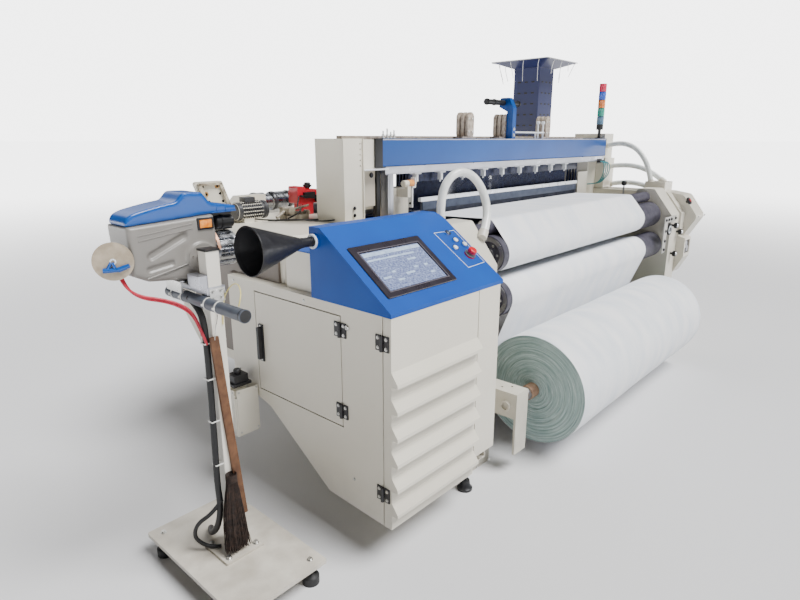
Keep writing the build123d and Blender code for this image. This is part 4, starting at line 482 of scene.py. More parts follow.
# Perforated bracket face with brass bushes, leaning over the motor
bracket_cream = enamel("bracket_cream", (0.62, 0.55, 0.43), (0.46, 0.40, 0.30), 0.5, 0.0005)
cloudy(bracket_cream, "Base Color", (0.16, 0.12, 0.08), (0.66, 0.60, 0.47), 0.035, 6.0)
bush_brass = mottled(
    "bush_brass", (0.55, 0.30, 0.10), (0.40, 0.20, 0.07), (0.66, 0.40, 0.16), 0.4, 0.01, metallic=0.6
)
BRACKET_LEAN = 75 / 205
bracket_face = bmesh.new()
slab(bracket_face, (-0.066, 0.0, 0.016), (-0.048, 0.012, 0.196), 0.003)
slab(bracket_face, (0.048, 0.0, 0.016), (0.066, 0.012, 0.196), 0.003)
slab(bracket_face, (-0.066, 0.0, 0.186), (0.066, 0.012, 0.198), 0.003)
lean = Matrix.Identity(4)
lean[0][2] = -BRACKET_LEAN
bracket_face.transform(Matrix.Translation((-1.925, 0.4995, 1.195)) @ lean)
shaped("bracket_ribs", bracket_face, bracket_cream)
bushes = bmesh.new()
# Black closed cups in the holes: painted shade for the holes' dark insides
hole_shade_cups = bmesh.new()
for row in range(5):
    rise = 0.030 + 0.038 * row
    for side in (-0.038, 0.038):
        centre = (-1.925 + side - rise * BRACKET_LEAN, 0.515, 1.195 + rise)
        if (row, side) in ((1, 0.038), (3, -0.038), (4, 0.038)):
            turned(
                bushes,
                [(0, 0.0062), (0, 0.0125), (0.004, 0.0115), (0.004, 0.0062)],
                centre, (0, -1, 0), 20,
            )
        turned(hole_shade_cups, [(-0.012, 0), (-0.012, 0.0069), (-0.0002, 0.0069)], centre, (0, -1, 0), 16)
shaped("bracket_bushes", bushes, bush_brass)
shaped("bracket_hole_shade", hole_shade_cups, moulded_black)

# Linkage on the housing's top: a bright shaft, small cast levers, springs and their leads
shaft = bmesh.new()
turned(
    shaft,
    [
        (0, 0), (0, 0.046), (0.005, 0.051), (0.080, 0.051), (0.086, 0.043), (0.120, 0.043), (0.126, 0.051),
        (0.230, 0.051),
        (0.236, 0.040), (0.320, 0.040), (0.320, 0),
    ],
    (-1.610, 0.750, 1.252), (1, 0, 0), 40,
)
shaft_bands = bmesh.new()
for band_x in (-1.600, -1.478, -1.374):
    turned(
        shaft_bands,
        [(0, 0.040), (0, 0.0530), (0.004, 0.0545), (0.016, 0.0545), (0.020, 0.0530), (0.020, 0.040)],
        (band_x, 0.750, 1.252), (1, 0, 0), 40,
    )
shaped("drive_shaft_bands", shaft_bands, motor_black)
shaft_steel = finish("shaft_steel", (0.30, 0.31, 0.33), 0.22, 1.0)
cloudy(shaft_steel, "Roughness", 0.16, 0.38, 0.03)
shaped("drive_shaft", shaft, shaft_steel)
piece(
    "linkage_levers", bracket_cream,
    (slab, (-1.690, 0.330, 1.195), (-1.650, 0.380, 1.262), 0.006),
    (slab, (-1.700, 0.300, 1.195), (-1.560, 0.318, 1.222), 0.004),
    (slab, (-1.640, 0.352, 1.205), (-1.520, 0.392, 1.232), 0.008, Matrix.Rotation(0.12, 3, "Y")),
    (
        turned,
        [(0, 0), (0, 0.022), (0.030, 0.022), (0.034, 0.016), (0.034, 0)],
        (-1.672, 0.328, 1.246), (0, -1, 0), 24,
    ),
    (
        turned,
        [(0, 0), (0, 0.014), (0.024, 0.014), (0.026, 0.010), (0.026, 0)],
        (-1.545, 0.350, 1.226), (0, -1, 0), 20,
    ),
    (bar, (-1.640, 0.340, 1.246), (-1.530, 0.340, 1.262), 0.006, 12),
    (bar, (-1.740, 0.335, 1.215), (-1.690, 0.335, 1.240), 0.009, 12),
)
spring = bmesh.new()
for coil in range(14):
    turned(
        spring,
        [(0, 0.0060), (0.0008, 0.0078), (0.0022, 0.0078), (0.0030, 0.0060)],
        (-1.636 + 0.0055 * coil, 0.322, 1.2085), (1, 0, 0), 14,
    )
shaped("linkage_spring", spring, shaft_steel)
LEADS = {
    "upper": [
        (-1.700, 0.310, 1.206), (-1.660, 0.250, 1.236), (-1.610, 0.300, 1.262), (-1.560, 0.400, 1.236),
        (-1.515, 0.440, 1.290), (-1.500, 0.452, 1.300),
    ],
    "lower": [
        (-1.760, 0.380, 1.1995), (-1.720, 0.280, 1.204), (-1.640, 0.235, 1.203), (-1.570, 0.180, 1.206),
        (-1.530, 0.090, 1.204), (-1.500, 0.010, 1.210),
    ],
    "across": [
        (-1.820, 0.430, 1.210), (-1.780, 0.340, 1.204), (-1.700, 0.220, 1.214), (-1.620, 0.120, 1.203),
        (-1.595, 0.060, 1.215),
    ],
}
for lead, route in LEADS.items():
    wire(f"drive_lead_{lead}", route, 0.0038, moulded_black, "root", 8)

# Small bolts, screws and nuts: zinc-plated or black steel heads on thin washers. They are driven in
# square to the face that they hold, so one recipe sets a head on every listed spot.
bright_zinc = finish("bright_zinc", (0.62, 0.62, 0.60), 0.3, 1.0)
cloudy(bright_zinc, "Roughness", 0.24, 0.42, 0.01)
black_oxide = finish("black_oxide", (0.035, 0.035, 0.04), 0.38, 0.7)
grain(black_oxide, 0.002, 0.0001)

SCREW_SOCKETS = (
    ("Spots", "Geometry"), ("Head Radius", "Float"), ("Head Height", "Float"), ("Washer Radius", "Float"),
    ("Washer Height", "Float"), ("Sides", "Int"), ("Steel", "Material"),
)
screw_recipe, screw_in, screw_out = new_recipe("screw_recipe", SCREW_SOCKETS, "Heads")
head_shape = node(screw_recipe, "GeometryNodeMeshCylinder")
washer_shape = node(screw_recipe, "GeometryNodeMeshCylinder", Vertices=16)
head_lift = node(screw_recipe, "ShaderNodeCombineXYZ")
washer_lift = node(screw_recipe, "ShaderNodeCombineXYZ")
half_head = node(screw_recipe, "ShaderNodeMath")
half_head.operation = "MULTIPLY_ADD"
half_head.inputs[1].default_value = 0.5
half_washer = node(screw_recipe, "ShaderNodeMath")
half_washer.operation = "MULTIPLY"
half_washer.inputs[1].default_value = 0.5
raise_head = node(screw_recipe, "GeometryNodeTransform")
raise_washer = node(screw_recipe, "GeometryNodeTransform")
both = node(screw_recipe, "GeometryNodeJoinGeometry")
facing_name = node(screw_recipe, "GeometryNodeInputNamedAttribute")
facing_name.data_type = "FLOAT_VECTOR"
facing_name.inputs["Name"].default_value = "facing"
face_out = node(screw_recipe, "FunctionNodeAlignRotationToVector")
face_out.axis = "Z"
set_heads = node(screw_recipe, "GeometryNodeInstanceOnPoints")
real_heads = node(screw_recipe, "GeometryNodeRealizeInstances")
steel_heads = node(screw_recipe, "GeometryNodeSetMaterial")
for wiring in (
    (screw_in, "Sides", head_shape, "Vertices"),
    (screw_in, "Head Radius", head_shape, "Radius"),
    (screw_in, "Head Height", head_shape, "Depth"),
    (screw_in, "Washer Radius", washer_shape, "Radius"),
    (screw_in, "Washer Height", washer_shape, "Depth"),
    (screw_in, "Head Height", half_head, 0), (screw_in, "Washer Height", half_head, 2),
    (screw_in, "Washer Height", half_washer, 0), (half_head, 0, head_lift, "Z"),
    (half_washer, 0, washer_lift, "Z"), (head_shape, "Mesh", raise_head, "Geometry"),
    (head_lift, 0, raise_head, "Translation"),
    (washer_shape, "Mesh", raise_washer, "Geometry"),
    (washer_lift, 0, raise_washer, "Translation"), (raise_head, 0, both, 0), (raise_washer, 0, both, 0),
    (screw_in, "Spots", set_heads, "Points"), (both, 0, set_heads, "Instance"),
    (facing_name, "Attribute", face_out, "Vector"),
    (face_out, "Rotation", set_heads, "Rotation"), (set_heads, 0, real_heads, "Geometry"),
    (real_heads, 0, steel_heads, "Geometry"), (screw_in, "Steel", steel_heads, "Material"),
    (steel_heads, 0, screw_out, "Heads"),
):
    link(*wiring)


def made_by_recipe(made, recipe, sizes, body):
    """Runs a recipe on an object with these named sizes, keeps the plain mesh, and rides it on a body."""
    modifier = made.modifiers.new("recipe", "NODES")
    modifier.node_group = recipe
    for item in recipe.interface.items_tree:
        if item.name in sizes:
            modifier[item.identifier] = sizes[item.name]
    bpy.context.view_layer.update()
    settled = bpy.data.meshes.new_from_object(made.evaluated_get(bpy.context.evaluated_depsgraph_get()))
    made.modifiers.clear()
    made.data = settled
    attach(made, body)
    return made


def screws(name, spots, head, height, steel=bright_zinc, body="root", sides=6):
    """Screw heads on washers; each spot is a place and the way that it faces."""
    mesh = bpy.data.meshes.new(name)
    mesh.from_pydata([place for place, way in spots], [], [])
    ways = mesh.attributes.new("facing", "FLOAT_VECTOR", "POINT")
    for number, (place, way) in enumerate(spots):
        ways.data[number].vector = way
    made = placed(name, mesh)
    sizes = {
        "Head Radius": head,
        "Head Height": height,
        "Washer Radius": head * 1.4,
        "Washer Height": height * 0.25,
        "Sides": sides,
        "Steel": steel,
    }
    return made_by_recipe(made, screw_recipe, sizes, body)


# Control cabinet: folded sheet steel, powder-coated cream, with a pressed louvred door in front and a
# flat door in its left side, both on black cast face hinges, and a junction box at its back.
sheet_enamel = enamel("sheet_enamel", (0.74, 0.70, 0.60), (0.70, 0.66, 0.56), 0.36, 0.0001)
darkened_near_floor(sheet_enamel, (0.42, 0.38, 0.32), 0.16, 0.36, 0.55)
relay_cream = enamel("relay_cream", (0.80, 0.76, 0.66), (0.74, 0.71, 0.62), 0.4, 0.0002)
dress(sheet_enamel, "cabinet_shell", "cabinet_left_wall", "louvred_door", "side_door")
dress(relay_cream, "junction_box", "relay_box")
hinge_black = finish("hinge_black", (0.014, 0.014, 0.016), 0.42)
grain(hinge_black, 0.002, 0.0003)
dress(hinge_black, "fixed_hinges", "louvred_door_hinges", "side_door_fittings")
CABINET_FACE_X = -2.114
SEAM_Y = {"louvred_door": (-0.7615, (0.305, 0.908)), "side_door": (-0.5425, (0.577, 0.910))}
LEAF_SCREW = {"louvred_door": -0.020, "side_door": 0.020}
for door, (seam_y, hinge_heights) in SEAM_Y.items():
    leaf = LEAF_SCREW[door]
    for body, side in ((door, leaf), ("root", -leaf)):
        screws(
            f"{door}_{body}_hinge_screws",
            [
                ((CABINET_FACE_X - 0.005, seam_y + side, middle + rise), (-1, 0, 0))
                for middle in hinge_heights
                for rise in (-0.018, 0.018)
            ],
            0.0048, 0.0024, bright_zinc, body, 10,
        )
screws(
    "handle_screws",
    [((CABINET_FACE_X - 0.006, -0.025, z), (-1, 0, 0)) for z in (0.657, 0.813)],
    0.0035, 0.002, bright_zinc, "side_door", 10,
)

# Quarter-turn lock beside the upper side hinge, and the seam bolts of the shell
piece(
    "cabinet_lock", bright_zinc,
    (
        turned,
        [(0, 0), (0, 0.011), (0.003, 0.011), (0.005, 0.008), (0.005, 0.004), (0.002, 0.003), (0.002, 0)],
        (CABINET_FACE_X - 0.0005, -0.580, 0.925), (-1, 0, 0), 24,
    ),
)
screws(
    "cabinet_seam_screws",
    [
        ((CABINET_FACE_X, y, z), (-1, 0, 0))
        for y, z in ((-0.60, 0.30), (-0.33, 0.985), (0.17, 0.985), (0.17, 0.56))
    ]
    + [((x, -0.801, 0.182), (0, -1, 0)) for x in (-1.555, -1.462)],
    0.005, 0.003,
)

# Rubber foot under the cabinet's right front corner
piece(
    "cabinet_foot", hinge_black,
    (
        turned,
        [
            (0, 0), (0, 0.036), (0.012, 0.036), (0.022, 0.026), (0.050, 0.022), (0.052, 0.010),
            (0.166, 0.010), (0.166, 0),
        ],
        (-1.50, -0.70, 0.0), (0, 0, 1), 28,
    ),
)

# Junction box lids with their screws, and a hooded connector with a short round stub on top
box_low, box_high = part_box("junction_box")
piece(
    "junction_box_lids", relay_cream,
    (
        slab,
        (box_low.x + 0.006, box_low.y - 0.004, box_low.z + 0.008),
        (box_high.x - 0.006, box_low.y, box_high.z - 0.008),
        0.0018,
    ),
    (
        slab,
        (box_low.x - 0.004, box_low.y + 0.006, box_low.z + 0.008),
        (box_low.x, box_high.y - 0.006, box_high.z - 0.008),
        0.0018,
    ),
)
screws(
    "junction_box_screws",
    [
        ((x, box_low.y - 0.004, z), (0, -1, 0))
        for x in (box_low.x + 0.016, box_high.x - 0.016)
        for z in (box_low.z + 0.018, box_high.z - 0.018)
    ]
    + [
        ((box_low.x - 0.004, y, z), (-1, 0, 0))
        for y in (box_low.y + 0.016, box_high.y - 0.016)
        for z in (box_low.z + 0.018, box_high.z - 0.018)
    ],
    0.0035, 0.002, bright_zinc, "root", 10,
)
piece(
    "hooded_connector", hinge_black,
    (
        slab,
        (box_low.x + 0.018, box_low.y + 0.028, box_high.z - 0.002),
        (box_high.x - 0.030, box_high.y - 0.028, box_high.z + 0.048),
        0.006,
    ),
    (
        slab,
        (box_low.x + 0.008, box_low.y + 0.020, box_high.z - 0.002),
        (box_high.x - 0.020, box_high.y - 0.020, box_high.z + 0.012),
        0.003,
    ),
    (
        turned,
        [(0, 0), (0, 0.015), (0.006, 0.017), (0.020, 0.017), (0.024, 0.013), (0.024, 0)],
        ((box_low.x + box_high.x) / 2 - 0.006, 0.090, box_high.z + 0.046),
        (0, 0, 1), 24,
    ),
)

# Top beam: a blue enamelled box section between black end caps, over a slotted aluminium rail with
# hangers, held by cream posts of folded sheet at both ends.
beam_blue = enamel("beam_blue", (0.0005, 0.075, 0.33), (0.0002, 0.058, 0.27), 0.36, 0.0001)
shader_of(beam_blue).inputs["Specular IOR Level"].default_value = 0.25
rolled_aluminium = finish("rolled_aluminium", (0.50, 0.51, 0.56), 0.34, 0.8)
grain(rolled_aluminium, 0.003, 0.0001, (0.03, 1, 1))
cloudy(rolled_aluminium, "Roughness", 0.26, 0.42, 0.05)
dress(beam_blue, "top_beam", "yarn_bracket")
dress(moulded_black, "beam_caps", "yarn_rod", "front_knobs")
dress(rolled_aluminium, "beam_rail")
BEAM_FRONT, BEAM_TOP = 0.014, 1.600

# Pale strips along the rail's upper and lower lips, and hanger plates under it
piece(
    "rail_lips", rolled_aluminium,
    (slab, (-1.279, BEAM_FRONT - 0.0035, 1.4520), (1.379, BEAM_FRONT + 0.001, 1.4600), 0.0012),
    (slab, (-1.279, BEAM_FRONT - 0.0025, 1.4210), (1.379, BEAM_FRONT + 0.001, 1.4260), 0.0010),
)
hangers = bmesh.new()
for number in range(9):
    hanger_x = -1.014 + 0.218 * number
    slab(
        hangers,
        (hanger_x - 0.027, BEAM_FRONT + 0.004, 1.4125),
        (hanger_x + 0.027, BEAM_FRONT + 0.045, 1.4205),
        0.0015,
    )
    slab(
        hangers,
        (hanger_x - 0.0075, BEAM_FRONT + 0.010, 1.3720),
        (hanger_x + 0.0075, BEAM_FRONT + 0.038, 1.4130),
        0.0015,
    )
    bar(hangers, (hanger_x, BEAM_FRONT + 0.024, 1.3600), (hanger_x, BEAM_FRONT + 0.024, 1.3725), 0.005, 10)
hanger_white = mottled("hanger_white", (0.80, 0.82, 0.84), (0.72, 0.74, 0.77), (0.86, 0.87, 0.88), 0.4, 0.02)
shaped("rail_hangers", hangers, hanger_white)

# Studs with nuts in a row on the beam's left end, and the posts' and panels' screws
studs = bmesh.new()
for stud_x, height in ((-1.262, 0.038), (-1.232, 0.050), (-1.205, 0.034), (-1.180, 0.042)):
    bar(studs, (stud_x, 0.046, BEAM_TOP - 0.002), (stud_x, 0.046, BEAM_TOP + height), 0.0040, 10)
shaped("beam_studs", studs, bright_zinc)
screws(
    "beam_stud_nuts",
    [
        ((x, 0.046, BEAM_TOP + rise), (0, 0, 1))
        for x in (-1.262, -1.232, -1.205, -1.180) for rise in (0.0, 0.014)
    ],
    0.0075, 0.006,
)
piece("beam_end_cover", moulded_black, (slab, (-1.352, 0.0125, 1.457), (-1.2985, 0.0235, 1.6015), 0.002))
piece("beam_top_line", rolled_aluminium, (slab, (-1.298, 0.0125, 1.5925), (1.398, 0.0150, 1.5985), 0.0006))
piece(
    "post_edges", cream_enamel,
    (slab, (-1.5905, -0.0095, 1.196), (-1.5865, 0.004, 1.599), 0.001),
    (slab, (-1.4590, -0.0085, 1.196), (-1.4535, 0.004, 1.599), 0.001),
)
screws(
    "post_screws",
    [((-1.522, -0.006, z), (0, -1, 0)) for z in (1.235, 1.270)]
    + [((x, 0.070, 1.432), (0, -1, 0)) for x in (-1.425, -1.335)]
    + [((x, 0.070, 1.275), (0, -1, 0)) for x in (-1.425, -1.240)],
    0.0065, 0.005, black_oxide,
)

# Beige plate and dark upright beside the left post, below the beam
plate_beige = enamel("plate_beige", (0.62, 0.57, 0.47), (0.54, 0.49, 0.40), 0.45, 0.0003)
piece("side_plate", plate_beige, (slab, (-1.448, 0.048, 1.262), (-1.322, 0.066, 1.445), 0.004))
screws(
    "side_plate_bolts",
    [((x, 0.048, 1.420), (0, -1, 0)) for x in (-1.425, -1.350)],
    0.010, 0.006, black_oxide,
)
piece("dark_upright", moulded_black, (slab, (-1.318, 0.040, 1.20), (-1.292, 0.068, 1.455), 0.002))
piece(
    "pale_upright", rolled_aluminium,
    (slab, (-1.262, 0.0125, 1.092), (-1.221, 0.0655, 1.421), 0.002),
    (slab, (-1.250, 0.0105, 1.110), (-1.233, 0.0130, 1.415), 0.0006),
)
piece("post_shelf", hanger_white, (slab, (-1.455, -0.012, 1.4462), (-1.279, 0.079, 1.4530), 0.0015))

# Weft nozzle on the left side frame: an orange and cream tube in a bent white bracket
nozzle_orange = mottled(
    "nozzle_orange", (0.86, 0.33, 0.06), (0.74, 0.26, 0.05), (0.92, 0.42, 0.10), 0.35, 0.01
)
nozzle_cream = mottled(
    "nozzle_cream", (0.80, 0.74, 0.60), (0.72, 0.66, 0.52), (0.86, 0.80, 0.66), 0.35, 0.01
)
piece(
    "nozzle_tube", nozzle_cream,
    (
        turned,
        [(0, 0), (0, 0.0150), (0.002, 0.0176), (0.034, 0.0176), (0.036, 0.0172)],
        (-1.160, 0.0, 1.368), (1, 0, 0), 28,
    ),
)
piece(
    "nozzle_head", nozzle_orange,
    (
        turned,
        [(0.036, 0.0172), (0.037, 0.0186), (0.076, 0.0186), (0.080, 0.0160), (0.102, 0.0075), (0.102, 0)],
        (-1.160, 0.0, 1.368), (1, 0, 0), 28,
    ),
)
piece(
    "nozzle_bracket", hanger_white,
    (slab, (-1.1085, -0.020, 1.240), (-1.1000, 0.010, 1.352), 0.0015),
    (slab, (-1.1085, -0.020, 1.344), (-1.0800, 0.010, 1.352), 0.0015),
    (slab, (-1.0850, -0.020, 1.344), (-1.0770, 0.010, 1.398), 0.0015),
)
screws(
    "nozzle_screws",
    [((-1.1085, -0.006, z), (-1, 0, 0)) for z in (1.262, 1.300)],
    0.005, 0.004, black_oxide,
)

# Guide boards: short varnished boards in threes on feet that stand on the beam, with a thin white
# thread bar and pins between them, and a blue bracket with its black yarn rod.
board_wood = mottled("board_wood", (0.42, 0.33, 0.25), (0.28, 0.22, 0.17), (0.56, 0.48, 0.39), 0.5, 0.02)
grain(board_wood, 0.004, 0.0004, (1, 1, 0.08))
dress(board_wood, "frame_guides")
board_screw_spots = []
for guide_x in (-0.475, -0.070, 0.490):
    board_screw_spots += [
        ((guide_x + 0.020 + x, 0.0915, z), (0, -1, 0))
        for x in (-0.018, 0.018) for z in (1.640, 1.716)
    ]
screws(
    "board_screws",
    [((x, 0.0760, z), way) for (x, y, z), way in board_screw_spots],
    0.005, 0.003, bright_zinc, "root", 10,
)
thread_bar = bmesh.new()
bar(thread_bar, (-0.020, 0.060, 1.640), (0.420, 0.060, 1.640), 0.006, 12)
bar(thread_bar, (0.300, 0.060, BEAM_TOP - 0.002), (0.300, 0.060, 1.642), 0.005, 10)
bar(thread_bar, (0.020, 0.060, BEAM_TOP - 0.002), (0.020, 0.060, 1.642), 0.005, 10)
for pin_x in (0.335, 0.405):
    bar(thread_bar, (pin_x, 0.060, BEAM_TOP - 0.002), (pin_x, 0.060, 1.705), 0.006, 12)
    turned(
        thread_bar,
        [(0, 0), (0, 0.010), (0.004, 0.013), (0.016, 0.013), (0.020, 0.008), (0.020, 0)],
        (pin_x, 0.060, 1.698), (0, 0, 1), 16,
    )
shaped("thread_bar", thread_bar, hanger_white)
rod_rings = bmesh.new()
for ring_x in (-0.262, -0.180, 0.030, 0.108):
    turned(
        rod_rings,
        [(0, 0.0172), (0.0005, 0.0205), (0.010, 0.0205), (0.0105, 0.0172)],
        (ring_x, 0.099, 1.825), (1, 0, 0), 24,
    )
shaped("yarn_rod_rings", rod_rings, moulded_black)
screws("yarn_bracket_bolts", [((-0.040, 0.026, z), (0, -1, 0)) for z in (1.622, 1.660)], 0.007, 0.005)

# Control console: a folded sheet housing in deep blue enamel on the cabinet, with a framed touch
# screen, push buttons on a lined panel, a red stop button, and the funnel's grommet at its left.
console_blue = enamel("console_blue", (0.0003, 0.072, 0.38), (0.0001, 0.055, 0.31), 0.5, 0.0001)
shader_of(console_blue).inputs["Specular IOR Level"].default_value = 0.25
relay_low, relay_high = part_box("relay_box")
piece(
    "relay_lid", console_blue,
    (
        slab,
        (relay_low.x + 0.001, relay_low.y + 0.001, relay_high.z - 0.001),
        (relay_high.x - 0.001, relay_high.y - 0.001, relay_high.z + 0.004),
        0.0015,
    ),
)
shader_of(console_blue).inputs["Coat Weight"].default_value = 0.1
dress(console_blue, "control_console")
SLOPE = math.atan2(1.282 - 1.020, -0.439 + 0.802)
SLOPE_MIDDLE = Vector((-1.773, (-0.439 - 0.802) / 2, (1.282 + 1.020) / 2))


def on_slope(across, up, out=0.0):
    """A point on the console's sloping face, from the middle of that face."""
    return SLOPE_MIDDLE + Vector(
        (
            across, up * math.cos(SLOPE) - out * math.sin(SLOPE),
            up * math.sin(SLOPE) + out * math.cos(SLOPE),
        )
    )


SLOPE_OUT = (on_slope(0, 0, 1) - on_slope(0, 0)).normalized()
bezel_black = finish("bezel_black", (0.022, 0.018, 0.026), 0.28)
cloudy(bezel_black, "Roughness", 0.24, 0.36, 0.05)
shader_of(bezel_black).inputs["Coat Weight"].default_value = 0.3
dress(bezel_black, "touch_screen")

# Lit panel: pale blocks of a working page behind glass, drawn on the panel's own map
screen_light = finish("screen_light", (0.10, 0.12, 0.20), 0.10)
tree = screen_light.node_tree
page_map = node(tree, "ShaderNodeUVMap")
page_map.uv_map = "page"
blocks = node(
    tree, "ShaderNodeTexBrick", Scale=5.0, Brick_Width=0.42, Row_Height=0.22, Mortar_Size=0.02,
    Color1=(0.10, 0.13, 0.26, 1), Color2=(0.17, 0.21, 0.37, 1), Mortar=(0.26, 0.31, 0.48, 1)
)
blocks.offset = 0.5
mottle = node(tree, "ShaderNodeTexNoise", Scale=22, Detail=6)
mottle_ramp = node(tree, "ShaderNodeValToRGB")
mottle_ramp.color_ramp.elements[0].position = 0.42
mottle_ramp.color_ramp.elements[0].color = (0.08, 0.10, 0.22, 1)
mottle_ramp.color_ramp.elements[1].position = 0.66
mottle_ramp.color_ramp.elements[1].color = (0.42, 0.50, 0.70, 1)
page_mix = node(tree, "ShaderNodeMixRGB", Fac=0.45)
link(page_map, "UV", blocks, "Vector")
link(page_map, "UV", mottle, "Vector")
link(mottle, "Fac", mottle_ramp, "Fac")
link(blocks, "Color", page_mix, "Color1")
link(mottle_ramp, "Color", page_mix, "Color2")
link(page_mix, "Color", tree.nodes["Principled BSDF"], "Base Color")
link(page_mix, "Color", tree.nodes["Principled BSDF"], "Emission Color")
tree.nodes["Principled BSDF"].inputs["Emission Strength"].default_value = 0.25
screen_bar = mottled("screen_bar", (0.38, 0.48, 0.64), (0.30, 0.40, 0.58), (0.48, 0.60, 0.76), 0.12, 0.02)
shader_of(screen_bar).inputs["Emission Color"].default_value = (0.55, 0.66, 0.80, 1)
shader_of(screen_bar).inputs["Emission Strength"].default_value = 0.2


def slope_plate(bm, left, low, right, high, out, thickness):
    """A thin plate that lies on the sloping face between two of its points."""
    corners = [(left, low), (right, low), (right, high), (left, high)]
    base = [bm.verts.new(on_slope(x, y, out)) for x, y in corners]
    top = [bm.verts.new(on_slope(x, y, out + thickness)) for x, y in corners]
    bm.faces.new(base[::-1])
    lit = bm.faces.new(top)
    for side in range(4):
        after = (side + 1) % 4
        bm.faces.new((base[side], base[after], top[after], top[side]))
    return lit


PAGE_LEFT, PAGE_LOW, PAGE_RIGHT, PAGE_HIGH = -0.262, -0.130, 0.062, 0.062
page = bmesh.new()
page_layer = page.loops.layers.uv.new("page")
slope_plate(page, PAGE_LEFT, PAGE_LOW, PAGE_RIGHT, PAGE_HIGH, 0.0021, 0.0009)
for face in page.faces:
    for loop in face.loops:
        place = loop.vert.co
        loop[page_layer].uv = (
            (place.x - SLOPE_MIDDLE.x - PAGE_LEFT) / 0.19,
            (place.z - on_slope(0, PAGE_LOW).z) / math.sin(SLOPE) / 0.19,
        )
shaped("screen_page", page, screen_light, smooth=0)
page_bars = bmesh.new()
slope_plate(
    page_bars, PAGE_LEFT + 0.004, PAGE_HIGH - 0.022, PAGE_RIGHT - 0.004, PAGE_HIGH - 0.004, 0.0031, 0.0003,
)
slope_plate(
    page_bars, PAGE_LEFT + 0.004, PAGE_HIGH - 0.046, PAGE_RIGHT - 0.060, PAGE_HIGH - 0.038, 0.0031, 0.0003,
)
random.seed(11)
for row in range(6):
    for column in range(5):
        if random.random() < 0.35:
            left = PAGE_LEFT + 0.014 + 0.062 * column
            low = PAGE_LOW + 0.012 + 0.021 * row
            slope_plate(
                page_bars, left, low, left + 0.018 + 0.030 * random.random(), low + 0.009, 0.0031,
                0.0003,
            )
shaped("screen_page_fields", page_bars, screen_bar, smooth=0)
frame_line = bmesh.new()
for left, low, right, high in (
    (-0.272, 0.066, 0.072, 0.070), (-0.272, -0.138, 0.072, -0.134), (-0.272, -0.134, -0.268, 0.066),
    (0.068, -0.134, 0.072, 0.066),
):
    slope_plate(frame_line, left, low, right, high, 0.0046, 0.0012)
bezel_grey = finish("bezel_grey", (0.10, 0.09, 0.11), 0.4)
grain(bezel_grey, 0.001, 0.00005)
shaped("screen_frame_step", frame_line, bezel_grey, smooth=0)

# Lined button panel: a thin printed border, then chromed rings with pale and dark caps
line_white = mottled("line_white", (0.72, 0.80, 0.86), (0.62, 0.72, 0.80), (0.80, 0.86, 0.92), 0.4, 0.02)
panel_corners = [(0.210, 0.099), (0.345, 0.094), (0.348, -0.112), (0.224, -0.118)]
border = bmesh.new()
for start, end in zip(panel_corners, panel_corners[1:] + panel_corners[:1]):
    along = (Vector(end) - Vector(start)).normalized() * 0.0012
    aside = Vector((-along.y, along.x))
    edge = [Vector(start) - along, Vector(end) + along]
    low = [on_slope(*(spot + way), 0.0) for spot in edge for way in (aside, -aside)]
    high = [on_slope(*(spot + way), 0.0006) for spot in edge for way in (aside, -aside)]
    low, high = [border.verts.new(spot) for spot in low], [border.verts.new(spot) for spot in high]
    border.faces.new([high[corner] for corner in (0, 1, 3, 2)])
    border.faces.new([low[corner] for corner in (2, 3, 1, 0)])
    for a, b in ((0, 1), (1, 3), (3, 2), (2, 0)):
        border.faces.new((low[a], low[b], high[b], high[a]))
shaped("button_panel_border", border, line_white, smooth=0)
chrome = finish("chrome", (0.78, 0.80, 0.84), 0.16, 1.0)
cloudy(chrome, "Roughness", 0.12, 0.26, 0.02)
cap_white = mottled("cap_white", (0.80, 0.84, 0.88), (0.70, 0.76, 0.82), (0.86, 0.89, 0.92), 0.3, 0.02)
cap_dark = finish("cap_dark", (0.03, 0.05, 0.09), 0.3)
grain(cap_dark, 0.001, 0.00005)
stop_red = mottled("stop_red", (0.68, 0.004, 0.02), (0.58, 0.003, 0.015), (0.72, 0.01, 0.03), 0.25, 0.02)
shader_of(stop_red).inputs["Coat Weight"].default_value = 0.5
dress(stop_red, "console_buttons")
rings, pale_caps, dark_caps = bmesh.new(), bmesh.new(), bmesh.new()
for number, (across, up) in enumerate(((0.285, 0.082), (0.290, 0.034), (0.322, 0.002), (0.248, -0.006))):
    turned(
        rings,
        [
            (-0.001, 0.0150), (0.0035, 0.0158), (0.0085, 0.0150), (0.0085, 0.0118), (0.0070, 0.0112),
            (0.0070, 0.0100),
            (-0.001, 0.0100), (-0.001, 0.0150),
        ], on_slope(across, up), SLOPE_OUT, 28,
    )
    turned(
        dark_caps if number == 0 else pale_caps,
        [(0.0065, 0), (0.0065, 0.0112), (0.0105, 0.0108), (0.0120, 0.0085), (0.0122, 0)],
        on_slope(across, up), SLOPE_OUT, 24,
    )
shaped("button_rings", rings, chrome)
shaped("pale_button_caps", pale_caps, cap_white)
shaped("dark_button_cap", dark_caps, cap_dark)
piece(
    "stop_collar", bezel_grey,
    (
        turned,
        [
            (0.0045, 0.0140), (0.0055, 0.0262), (0.0080, 0.0262), (0.0095, 0.0200), (0.0160, 0.0150),
            (0.0175, 0.0140),
        ],
        on_slope(0.300, -0.056), SLOPE_OUT, 28,
    ),
)
